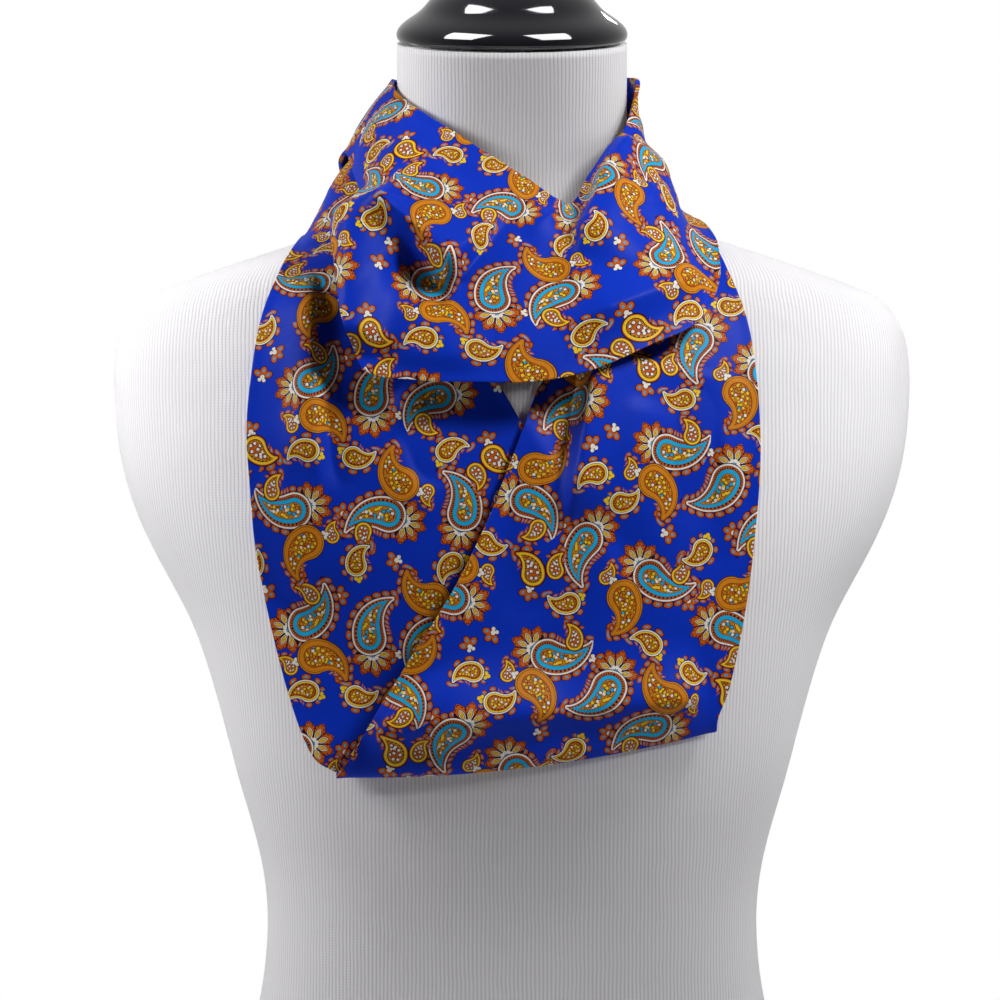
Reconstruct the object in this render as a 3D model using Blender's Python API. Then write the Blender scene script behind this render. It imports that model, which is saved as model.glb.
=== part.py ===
"""Infinity scarf worn doubled on a limbless torso dress form.

Sizes are in millimetres in the tables and become metres where a mesh is made.
+Z is up, the front of the form faces -Y, and the flat foot of the form lies at height 0.
"""

import math
from collections import namedtuple

import bmesh
import bpy
import numpy as np
from mathutils.bvhtree import BVHTree

METRE = 0.001

# Driving sizes: the cloth's wall, its gap to the form, and how the neck leans forward from a height upwards.
CLOTH_THICKNESS = 1.6
SKIN_GAP = 0.75
CLOSE = SKIN_GAP + CLOTH_THICKNESS / 2
NECK_TOP = 683.0
NECK_LEAN = 0.165
LEAN_START = 600.0
CAP_GAP = 0.3
SEAM_GAP = 0.8

# How far the tables' middle lies behind the middle of the part's box.
DEPTH_SHIFT = 9.5

# Fineness of the solids
FORM_SIDES = 40
RINGS_PER_ROW = 2
CAP_SIDES = 32
Fineness = namedtuple("Fineness", "along across")
LOWER_STEPS = Fineness(3, 16)
UPPER_STEPS = Fineness(4, 20)

# The dress form, from its foot to the top of its neck.
# Height, half its width, the depths of its front and back, and how square the section is.
FormRow = namedtuple("FormRow", "height half_width front back power")
FORM = (
    FormRow(0, 163, -108, 114, 2.3),
    FormRow(5, 166, -110, 116, 2.3),
    FormRow(60, 162, -111, 117, 2.3),
    FormRow(110, 151, -107, 108, 2.3),
    FormRow(150, 142, -104, 99, 2.3),
    FormRow(185, 139.5, -103, 93, 2.3),
    FormRow(217, 143, -105, 92, 2.3),
    FormRow(262, 156, -110, 97, 2.35),
    FormRow(308, 168, -115, 104, 2.4),
    FormRow(354, 183, -119, 111, 2.5),
    FormRow(399, 208, -121, 116, 2.6),
    FormRow(445, 224, -119, 118, 2.7),
    FormRow(490, 228, -111, 117, 2.7),
    FormRow(513, 226, -103, 114, 2.65),
    FormRow(536, 213, -93, 108, 2.55),
    FormRow(547, 188, -87, 104, 2.4),
    FormRow(559, 154, -80, 99, 2.3),
    FormRow(570, 120, -73, 94, 2.2),
    FormRow(582, 92, -67, 89, 2.1),
    FormRow(596, 74, -61, 84, 2.0),
    FormRow(615, 67, -57.5, 77, 2.0),
    FormRow(650, 66, -58.5, 68, 2.0),
    FormRow(NECK_TOP, 66, -62, 61, 2.0),
)

# The turned cap on the neck: radius and height above the neck's top. It is a little less deep than wide.
CAP_DEPTH_SHARE = 0.93
CapRow = namedtuple("CapRow", "radius height")
CAP = (
    CapRow(62.0, 0.0),
    CapRow(65.0, 1.2),
    CapRow(66.4, 4.0),
    CapRow(65.8, 8.0),
    CapRow(61.0, 12.6),
    CapRow(54.5, 16.5),
    CapRow(50.0, 20.5),
    CapRow(47.0, 25.0),
    CapRow(40.0, 31.0),
    CapRow(33.0, 36.0),
    CapRow(29.5, 42.0),
    CapRow(30.5, 48.0),
    CapRow(33.0, 53.0),
    CapRow(32.5, 58.0),
    CapRow(27.0, 63.0),
    CapRow(15.0, 66.0),
)

# One section across the band, from its neck edge to its outer edge. The bulge lifts the middle off a straight
# line and the sag drops it. Left and right are those of someone who looks at the front.
Section = namedtuple("Section", "x0 y0 z0 x1 y1 z1 bulge sag")

# The lower loop, from its hem on the left, over the left shoulder, behind the neck, over the right shoulder
# and down across the left stretch to the hem, where it rolls under.
LOWER_LOOP = {
    "scarf_lower_left": (
        Section(110, -98, 298, -98, -111, 271.5, 12, 7),
        Section(103, -100, 309, -111, -110, 281, 11, 6),
        Section(92, -103, 326, -123, -106, 311, 9, 4),
        Section(70, -108, 360, -134.5, -103, 355, 6, 2),
        Section(48, -112, 395, -142, -100, 395, 3, 0),
        Section(26, -114, 428, -145, -98, 428, 1, 0),
        Section(7, -113, 461, -147, -94, 460, 0, 0),
        Section(-8, -108, 487, -145, -98, 488, 0, 0),
        Section(-26, -96, 517, -140, -87, 520, 0, 0),
        Section(-46, -74, 556, -131, -68, 546, 0, 0),
        Section(-63, -36, 594, -123, -42, 563, 2, 0),
        Section(-78, 4, 632, -117, 6, 571, 5, 0),
    ),
    "scarf_lower_back": (
        Section(-76, 40, 622, -110, 60, 563, 2, 0),
        Section(-50, 76, 610, -84, 96, 542, 0, 0),
        Section(0, 88, 602, 0, 112, 530, 0, 0),
        Section(50, 76, 602, 84, 96, 540, 0, 0),
        Section(74, 40, 602, 98, 60, 565, 0, 0),
        Section(73, 4, 602, 97, 6, 580, 0, 0),
    ),
    "scarf_lower_right": (
        Section(60, -40, 585, 105, -20, 572, 0, 0),
        Section(43, -82, 548, 118, -62, 555, 0, 0),
        Section(27, -100, 515, 130, -87, 524, 0, 0),
        Section(15, -110, 487, 135, -99, 494, 0, 0),
        Section(6, -116, 462, 137, -104, 463, 0, 0),
        Section(-2, -120, 440, 137, -106, 440, 0, 0),
        Section(-14, -124, 410, 135, -107, 412, 2, 0),
        Section(-33, -127, 371, 132, -108, 382, 5, 1),
        Section(-55, -128, 336, 127, -108, 350, 8, 3),
        Section(-76, -127, 301, 120, -107, 318, 10, 5),
        Section(-92, -123, 277, 114, -106, 302, 12, 7),
        Section(-97, -118, 269.5, 113, -102, 294.5, 12, 7),
        Section(-97, -112.5, 271, 111, -98.5, 296.5, 12, 7),
    ),
}

# The upper loop, from the left shoulder across the front as a cowl to the right one, and behind the neck.
UPPER_LOOP = {
    "scarf_upper_front": (
        Section(-66, -12, 655, -90, -22, 610, 5, 0),
        Section(-60, -27, 648, -85, -58, 590, 8, 0),
        Section(-50, -42, 640, -92, -92, 560, 10, 0),
        Section(-37, -54, 631, -88, -116, 520, 11, 0),
        Section(-21, -62, 620, -82, -125, 494, 12, 0),
        Section(-4, -67, 609, -52, -131, 488, 12, 1),
        Section(13, -70, 598, -20, -135, 487, 12, 0),
        Section(29, -71, 588, 10, -137, 487, 12, 0),
        Section(43, -64, 600, 42, -134, 493, 12, 0),
        Section(55, -50, 615, 75, -125, 507, 11, 0),
        Section(63, -30, 631, 104, -110, 522, 6, 2),
        Section(69, -12, 648, 116, -74, 551, -7, 2),
        Section(72, 4, 662, 102, 4, 579, -12, 0),
    ),
    "scarf_upper_back": (
        Section(64, 38, 666, 101, 56, 571, -6, 0),
        Section(38, 57, 669, 72, 98, 560, 3, 0),
        Section(0, 64, 671, 0, 118, 556, 5, 0),
        Section(-38, 57, 668, -66, 98, 572, 4, 0),
        Section(-62, 40, 664, -96, 56, 598, 3, 0),
        Section(-68, 6, 662, -95, 6, 620, 3, 0),
    ),
}

# How high a stretch lies over the one below it, between their middles, and how softly it comes down past its
# edge. The last sections of the lower loop are its rolled hem, which lies free.
LAYER_RISE = 4.6
EDGE_SOFTNESS = 16.0
ROLL_SECTIONS = 2

# A fold seen from the front: where it starts and ends, its width on its left and right, and its height.
# The head and tail are the shares of its length over which it rises and dies away.
Fold = namedtuple("Fold", "x0 z0 x1 z1 left right height head tail")
FRONT_FOLDS = {
    "scarf_lower_left": (
        Fold(-98, 530, -99, 410, 10, 24, -5.0, 0.2, 0.5),
        Fold(-62, 492, -46, 396, 20, 14, 4.5, 0.2, 0.5),
        Fold(-124, 440, -104, 330, 14, 24, 3.0, 0.3, 0.5),
        Fold(-60, 400, -100, 300, 22, 16, -3.0, 0.4, 0.5),
    ),
    "scarf_lower_right": (
        Fold(46, 498, 28, 412, 10, 30, 9.0, 0.05, 0.55),
        Fold(96, 500, 104, 400, 20, 12, -3.5, 0.3, 0.5),
        Fold(8, 462, -66, 322, 6, 22, 3.0, 0.2, 0.3),
        Fold(104, 420, 66, 322, 24, 20, 4.0, 0.4, 0.5),
        Fold(14, 360, 44, 282, 18, 26, -4.5, 0.4, 0.5),
        Fold(-44, 332, -22, 284, 14, 22, 4.0, 0.4, 0.4),
    ),
    "scarf_upper_front": (
        Fold(-80, 588, -28, 546, 11, 24, 10.0, 0.35, 0.2),
        Fold(-66, 552, -26, 520, 16, 12, -5.0, 0.3, 0.4),
        Fold(66, 630, 34, 556, 10, 26, 9.0, 0.25, 0.5),
        Fold(44, 590, 26, 556, 12, 10, -3.0, 0.3, 0.4),
        Fold(34, 586, 4, 566, 12, 14, 4.0, 0.3, 0.5),
        Fold(26, 504, 114, 536, 12, 20, 6.0, 0.4, 0.3),
        Fold(-76, 506, -8, 500, 9, 18, 4.0, 0.3, 0.4),
        Fold(100, 590, 60, 540, 18, 20, -3.0, 0.4, 0.5),
    ),
}

# A pleat that runs along a stretch of the band: its place across the cloth at either end, its width as a
# share of the cloth's, and its height. It fades in and out over a share of the stretch.
Pleat = namedtuple("Pleat", "across0 across1 width height")
PLEAT_FADE = 0.15
PLEATS = {
    "scarf_lower_back": (Pleat(0.75, 0.7, 0.12, 1.6),),
    "scarf_upper_back": (
        Pleat(0.3, 0.3, 0.13, 3.0),
        Pleat(0.52, 0.5, 0.1, -3.0),
        Pleat(0.75, 0.72, 0.13, 3.5),
    ),
}

# The base colour and roughness of each material.
Finish = namedtuple("Finish", "red green blue roughness")
FINISHES = {
    "printed_satin": Finish(0.02, 0.045, 0.55, 0.42),
    "form_jersey": Finish(0.72, 0.71, 0.70, 0.85),
    "cap_lacquer": Finish(0.012, 0.012, 0.014, 0.12),
}


class Curve:
    """A smooth curve through a table's values that never overshoots them."""

    def __init__(self, places, values):
        self.x = np.asarray(places, float)
        self.y = np.asarray(values, float)
        step = np.diff(self.x)
        rise = np.diff(self.y) / step
        slope = np.zeros(len(self.x))
        slope[0], slope[-1] = rise[0], rise[-1]
        for i in range(1, len(self.x) - 1):
            if rise[i - 1] * rise[i] > 0:
                before, after = step[i - 1], step[i]
                weight = 2 * after + before, after + 2 * before
                slope[i] = sum(weight) / (weight[0] / rise[i - 1] + weight[1] / rise[i])
        self.step, self.slope = step, slope

    def __call__(self, at):
        at = np.clip(at, self.x[0], self.x[-1])
        i = np.clip(np.searchsorted(self.x, at, side="right") - 1, 0, len(self.step) - 1)
        h = self.step[i]
        t = (at - self.x[i]) / h
        a = (1 + 2 * t) * (1 - t) ** 2
        b = t * (1 - t) ** 2 * h
        c = t * t * (3 - 2 * t)
        d = t * t * (t - 1) * h
        return a * self.y[i] + b * self.slope[i] + c * self.y[i + 1] + d * self.slope[i + 1]


def smooth_step(t):
    """0 below 0, 1 above 1, with a soft rise between."""
    t = np.clip(t, 0, 1)
    return t * t * (3 - 2 * t)


HEIGHTS = [row.height for row in FORM]
HALF_WIDTH = Curve(HEIGHTS, [row.half_width for row in FORM])
FRONT = Curve(HEIGHTS, [row.front for row in FORM])
BACK = Curve(HEIGHTS, [row.back for row in FORM])
POWER = Curve(HEIGHTS, [row.power for row in FORM])


def lean_at(height):
    """How much the form's sections lean forward at a height, as rise over depth."""
    return NECK_LEAN * smooth_step((height - LEAN_START) / (NECK_TOP - LEAN_START))


def form_measure(points):
    """0 on the form's surface, below 0 inside it and above 0 outside, for an array of points."""
    x, y, z = points[:, 0], points[:, 1], points[:, 2]
    middle = (FRONT(z) + BACK(z)) / 2
    height = z - lean_at(z) * (y - middle)
    front, back, power = FRONT(height), BACK(height), POWER(height)
    across = np.abs(x) / HALF_WIDTH(height)
    deep = np.abs(y - (front + back) / 2) / ((back - front) / 2)
    return (across**power + deep**power) ** (1 / power) - 1


def form_distance(points, probe=0.5):
    """The distance from the form's surface and the way straight out of it, for an array of points."""
    value = form_measure(points)
    slope = np.empty_like(points)
    for axis in range(3):
        offset = np.zeros(3)
        offset[axis] = probe
        slope[:, axis] = (form_measure(points + offset) - form_measure(points - offset)) / (2 * probe)
    length = np.linalg.norm(slope, axis=1) + 1e-9
    return value / length, slope / length[:, None]


def way_out(out):
    """Straight forward where the form faces the front, and straight out of the form elsewhere."""
    facing_side, facing_front = 0.3, 0.65
    share = smooth_step((-out[:, 1] - facing_side) / (facing_front - facing_side))[:, None]
    way = (1 - share) * out + share * np.array([0.0, -1.0, 0.0])
    return way / np.linalg.norm(way, axis=1, keepdims=True)


def lay_on_form(grid, rounds=8):
    """Moves the points of a sheet that lie too near the form, or inside it, out to lie close over it."""
    points = grid.reshape(-1, 3)
    for _ in range(rounds):
        distance, out = form_distance(points)
        way = way_out(out)
        move = np.maximum(CLOSE - distance, 0) / (way * out).sum(axis=1)
        points = points + way * move[:, None]
    return points.reshape(grid.shape)


def spread(push, rounds=3):
    """Eases each push of a grid into its neighbours, without lowering any."""
    for _ in range(rounds):
        wide = np.pad(push, 1, mode="edge")
        mean = (wide[:-2, 1:-1] + wide[2:, 1:-1] + wide[1:-1, :-2] + wide[1:-1, 2:]) / 4
        push = np.maximum(push, mean)
    return push


def grid_faces(along, across):
    """The four-sided faces of a grid of points."""
    return [
        (i * across + j, i * across + j + 1, (i + 1) * across + j + 1, (i + 1) * across + j)
        for i in range(along - 1)
        for j in range(across - 1)
    ]


def lay_over(grid, under, rise, rounds=4):
    """Lifts a sheet where it lies lower than its rise over a sheet below it. Each row has its own rise."""
    tree = BVHTree.FromPolygons(under.reshape(-1, 3).tolist(), grid_faces(*under.shape[:2]))
    for _ in range(rounds):
        flat = grid.reshape(-1, 3)
        _, out = form_distance(flat)
        push = np.zeros(len(flat))
        for i, point in enumerate(flat):
            near, _, _, distance = tree.find_nearest(point.tolist(), 3 * EDGE_SOFTNESS)
            if near is None:
                continue
            height = float((point - np.array(near)) @ out[i])
            aside = math.sqrt(max(distance * distance - height * height, 0))
            wanted = rise[i // grid.shape[1]] * (1 - smooth_step(aside / EDGE_SOFTNESS))
            push[i] = max(wanted - height, 0) if aside < EDGE_SOFTNESS else 0
        push = spread(push.reshape(grid.shape[:2])).ravel()
        grid = (flat + way_out(out) * push[:, None]).reshape(grid.shape)
    return grid


def through(rows, steps, closed):
    """Values along a smooth curve through the rows, with so many steps between one row and the next."""
    rows = np.asarray(rows, float)
    before = rows[-1] if closed else 2 * rows[0] - rows[1]
    after = rows[:2] if closed else [2 * rows[-1] - rows[-2]]
    padded = np.vstack([before, rows, *after])
    found = []
    for i in range(len(padded) - 3):
        p0, p1, p2, p3 = padded[i : i + 4]
        for k in range(steps):
            t = k / steps
            bend = 2 * p0 - 5 * p1 + 4 * p2 - p3
            twist = 3 * p1 - p0 - 3 * p2 + p3
            found.append(p1 + 0.5 * ((p2 - p0) * t + bend * t**2 + twist * t**3))
    if not closed:
        found.append(rows[-1])
    return np.array(found)


def surface_normals(grid):
    """The way out of a sheet at each point of its grid, away from the form."""
    along = np.gradient(grid, axis=0)
    across = np.gradient(grid, axis=1)
    normal = np.cross(along, across)
    normal /= np.linalg.norm(normal, axis=2, keepdims=True) + 1e-9
    _, out = form_distance(grid.reshape(-1, 3))
    facing = np.sign((normal.reshape(-1, 3) * out).sum(axis=1)).sum()
    return normal if facing >= 0 else -normal


def fold_height(fold, grid):
    """How far one fold lifts each point of a grid."""
    start, end = np.array([fold.x0, fold.z0]), np.array([fold.x1, fold.z1])
    run = end - start
    length = np.linalg.norm(run)
    way = run / length
    offset = grid[:, :, [0, 2]] - start
    along = offset @ way / length
    side = offset @ np.array([-way[1], way[0]])
    width = np.where(side > 0, fold.right, fold.left)
    ends = smooth_step(along / fold.head) * smooth_step((1 - along) / fold.tail)
    seen = smooth_step((20 - grid[:, :, 1]) / 30)
    return fold.height * np.exp(-((side / width) ** 2)) * ends * seen


def band_grid(sections, steps, closed):
    """The middle surface of one loop of the band, as a grid of points along and across it, without folds."""
    rows = through(sections, steps.along, closed)
    t = np.linspace(0, 1, steps.across + 1)
    neck, outer = rows[:, None, 0:3], rows[:, None, 3:6]
    bulge, sag = rows[:, None, 6:7], rows[:, 7:8]
    arch = 4 * t * (1 - t)
    grid = neck + (outer - neck) * t[None, :, None]
    _, out = form_distance(grid.reshape(-1, 3))
    grid = grid + way_out(out).reshape(grid.shape) * bulge * arch[None, :, None]
    grid[:, :, 2] -= sag * arch
    return lay_on_form(grid)


def fold_sheet(name, grid):
    """A stretch of cloth with its folds and pleats raised."""
    along, across = grid.shape[:2]
    height = np.zeros((along, across))
    for fold in FRONT_FOLDS.get(name, ()):
        height += fold_height(fold, grid)
    share_along = np.linspace(0, 1, along)[:, None]
    share_across = np.linspace(0, 1, across)[None, :]
    ends = smooth_step(share_along / PLEAT_FADE) * smooth_step((1 - share_along) / PLEAT_FADE)
    for pleat in PLEATS.get(name, ()):
        place = pleat.across0 + (pleat.across1 - pleat.across0) * share_along
        height += pleat.height * np.exp(-(((share_across - place) / pleat.width) ** 2)) * ends
    return lay_on_form(grid + surface_normals(grid) * height[:, :, None])


def part_rows(grid, first, last):
    """The rows of a loop's grid from one seam to the next, drawn back from each seam by half its gap."""
    piece = np.array([grid[i % len(grid)] for i in range(first, last + 1)])
    for end, inner in ((0, 1), (-1, -2)):
        run = piece[inner] - piece[end]
        length = np.linalg.norm(run, axis=1, keepdims=True)
        piece[end] = piece[end] + run * SEAM_GAP / 2 / length
    return piece


def lower_loop():
    """The lower loop's three stretches, the right one lying over the left one."""
    sections = [section for rows in LOWER_LOOP.values() for section in rows]
    steps = LOWER_STEPS.along
    grid = band_grid(sections, LOWER_STEPS, closed=False)
    left_end = (len(LOWER_LOOP["scarf_lower_left"]) - 1) * steps
    back_end = left_end + len(LOWER_LOOP["scarf_lower_back"]) * steps
    left = fold_sheet("scarf_lower_left", part_rows(grid, 0, left_end))
    back = fold_sheet("scarf_lower_back", part_rows(grid, left_end, back_end))
    right = part_rows(grid, back_end, len(grid) - 1)
    to_hem = (len(right) - 1 - np.arange(len(right))) / steps
    rise = LAYER_RISE * smooth_step((to_hem - ROLL_SECTIONS) / 2)
    right = lay_over(fold_sheet("scarf_lower_right", right), left, rise)
    return {"scarf_lower_left": left, "scarf_lower_back": back, "scarf_lower_right": right}


def upper_loop(below):
    """The upper loop's two stretches, lying over the lower loop's."""
    sections = [section for rows in UPPER_LOOP.values() for section in rows]
    steps = UPPER_STEPS.along
    grid = band_grid(sections, UPPER_STEPS, closed=True)
    front_end = (len(UPPER_LOOP["scarf_upper_front"]) - 1) * steps
    front = fold_sheet("scarf_upper_front", part_rows(grid, -steps, front_end))
    back = fold_sheet("scarf_upper_back", part_rows(grid, front_end, len(grid) - steps))
    for sheet in below.values():
        front = lay_over(front, sheet, np.full(len(front), LAYER_RISE))
        back = lay_over(back, sheet, np.full(len(back), LAYER_RISE))
    return {"scarf_upper_front": front, "scarf_upper_back": back}


def to_metres(points):
    """Millimetres about the form's middle to metres about the middle of the part's box."""
    return (np.asarray(points, float) + [0, DEPTH_SHIFT, 0]) * METRE


def material(name):
    """The named finish as a Blender material."""
    made = bpy.data.materials.get(name)
    if made is None:
        finish = FINISHES[name]
        made = bpy.data.materials.new(name)
        made.use_nodes = True
        shader = made.node_tree.nodes["Principled BSDF"]
        shader.inputs["Base Color"].default_value = (finish.red, finish.green, finish.blue, 1)
        shader.inputs["Roughness"].default_value = finish.roughness
        shader.inputs["Metallic"].default_value = 0
    return made


def add_object(name, mesh, finish):
    """Puts a mesh in the scene as one named piece with its material."""
    piece = bpy.data.objects.new(name, mesh)
    mesh.materials.append(material(finish))
    bpy.context.scene.collection.objects.link(piece)
    return piece


def lofted_solid(name, rings, finish):
    """A closed solid through rings of points, with a flat face over the first ring and the last."""
    shape = bmesh.new()
    loops = [[shape.verts.new(p) for p in to_metres(ring)] for ring in rings]
    for lower, upper in zip(loops, loops[1:]):
        for i in range(len(lower)):
            k = (i + 1) % len(lower)
            shape.faces.new((lower[i], lower[k], upper[k], upper[i]))
    shape.faces.new(list(reversed(loops[0])))
    shape.faces.new(loops[-1])
    mesh = bpy.data.meshes.new(name)
    shape.to_mesh(mesh)
    shape.free()
    mesh.shade_smooth()
    return add_object(name, mesh, finish)


def form_ring(height, sides):
    """One section of the dress form, seen from above, starting at its right side."""
    front, back = float(FRONT(height)), float(BACK(height))
    middle, depth = (front + back) / 2, (back - front) / 2
    power = 2 / float(POWER(height))
    ring = []
    for i in range(sides):
        angle = 2 * math.pi * i / sides
        c, s = math.cos(angle), math.sin(angle)
        x = float(HALF_WIDTH(height)) * math.copysign(abs(c) ** power, c)
        y = middle + depth * math.copysign(abs(s) ** power, s)
        ring.append((x, y, height + float(lean_at(height)) * (y - middle)))
    return ring


def make_form():
    """The limbless torso of the dress form with its neck."""
    places = np.linspace(0, len(FORM) - 1, (len(FORM) - 1) * RINGS_PER_ROW + 1)
    heights = np.interp(places, range(len(FORM)), HEIGHTS)
    rings = [form_ring(height, FORM_SIDES) for height in heights]
    return lofted_solid("form_torso", rings, "form_jersey")


def make_cap():
    """The turned cap, square to the neck's leaning top."""
    middle = (float(FRONT(NECK_TOP)) + float(BACK(NECK_TOP))) / 2
    angle = math.atan(NECK_LEAN)
    rings = []
    for row in CAP:
        ring = []
        for i in range(CAP_SIDES):
            turn = 2 * math.pi * i / CAP_SIDES
            x, deep = row.radius * math.cos(turn), row.radius * math.sin(turn) * CAP_DEPTH_SHARE
            up = row.height + CAP_GAP
            y = middle + deep * math.cos(angle) - up * math.sin(angle)
            ring.append((x, y, NECK_TOP + deep * math.sin(angle) + up * math.cos(angle)))
        rings.append(ring)
    return lofted_solid("neck_cap", rings, "cap_lacquer")


def make_sheet(name, grid):
    """One stretch of the scarf as a wall of cloth."""
    mesh = bpy.data.meshes.new(name)
    points = to_metres(grid.reshape(-1, 3))
    mesh.from_pydata([tuple(p) for p in points], [], grid_faces(*grid.shape[:2]))
    mesh.shade_smooth()
    piece = add_object(name, mesh, "printed_satin")
    wall = piece.modifiers.new("wall", "SOLIDIFY")
    wall.thickness = CLOTH_THICKNESS * METRE
    wall.offset = 0
    wall.use_even_offset = True
    return piece


def main():
    for piece in list(bpy.data.objects):
        bpy.data.objects.remove(piece)
    make_form()
    make_cap()
    lower = lower_loop()
    for name, grid in (lower | upper_loop(lower)).items():
        make_sheet(name, grid)


main()
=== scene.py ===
"""Looks of an infinity scarf worn doubled on a limbless dress form.

The scarf is a flat tube of printed satin, the form is covered in rib jersey and its neck has a lacquered cap.
Lengths in the tables are millimetres, and become metres where a mesh is made. The form's front faces -Y.
"""

import logging
import math
from dataclasses import astuple, dataclass, field
from enum import Enum

import bpy
import numpy as np
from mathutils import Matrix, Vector
from mathutils.bvhtree import BVHTree


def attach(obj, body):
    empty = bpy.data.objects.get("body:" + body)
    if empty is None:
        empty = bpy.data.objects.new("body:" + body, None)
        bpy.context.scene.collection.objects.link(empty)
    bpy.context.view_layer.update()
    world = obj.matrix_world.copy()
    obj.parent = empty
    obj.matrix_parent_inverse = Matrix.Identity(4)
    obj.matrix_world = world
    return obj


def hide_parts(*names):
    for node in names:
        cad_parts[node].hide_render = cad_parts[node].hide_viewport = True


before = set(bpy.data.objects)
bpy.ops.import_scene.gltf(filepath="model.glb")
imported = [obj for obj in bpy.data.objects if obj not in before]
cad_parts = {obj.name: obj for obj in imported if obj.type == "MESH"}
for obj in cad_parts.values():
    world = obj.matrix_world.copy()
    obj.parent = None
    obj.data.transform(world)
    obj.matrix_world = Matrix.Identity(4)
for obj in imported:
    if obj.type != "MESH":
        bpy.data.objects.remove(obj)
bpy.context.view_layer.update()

LOG = logging.getLogger("scarf")
MM = 0.001
TINY = 1e-9
# The tables stand this far in front of the part's own frame, which has the middle of its box at Y = 0.
DEPTH_SHIFT = 9.5

Array = np.ndarray
Colour = tuple[float, float, float]


def smooth_step(t: Array | float) -> Array | float:
    """Eases from 0 to 1.

    Args:
        t: Where to look, as a share of the rise.

    Returns:
        0 below 0, 1 above 1 and a soft rise between.
    """
    t = np.clip(t, 0, 1)
    return t * t * (3 - 2 * t)


class Curve:
    """A smooth curve through a table's values that never overshoots them."""

    def __init__(self, places: list[float], values: list[float]) -> None:
        """Works out the slopes at the table's places.

        Args:
            places: Where the values stand, rising.
            values: The value at each place.
        """
        self.x = np.asarray(places, float)
        self.y = np.asarray(values, float)
        step = np.diff(self.x)
        rise = np.diff(self.y) / step
        slope = np.zeros(len(self.x))
        slope[0], slope[-1] = rise[0], rise[-1]
        for i in range(1, len(self.x) - 1):
            if rise[i - 1] * rise[i] > 0:
                before, after = step[i - 1], step[i]
                weight = 2 * after + before, after + 2 * before
                slope[i] = sum(weight) / (weight[0] / rise[i - 1] + weight[1] / rise[i])
        self.step, self.slope = step, slope

    def __call__(self, at: Array | float) -> Array:
        """Reads the curve.

        Args:
            at: The places to read it at.

        Returns:
            The value at each place.
        """
        at = np.clip(at, self.x[0], self.x[-1])
        i = np.clip(np.searchsorted(self.x, at, side="right") - 1, 0, len(self.step) - 1)
        h = self.step[i]
        t = (at - self.x[i]) / h
        a = (1 + 2 * t) * (1 - t) ** 2
        b = t * (1 - t) ** 2 * h
        c = t * t * (3 - 2 * t)
        d = t * t * (t - 1) * h
        return a * self.y[i] + b * self.slope[i] + c * self.y[i + 1] + d * self.slope[i + 1]


@dataclass(frozen=True)
class FormRow:
    """One level section of the dress form: its half width, its front's and back's depth, how square it is."""

    height: float
    half_width: float
    front: float
    back: float
    power: float


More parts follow.
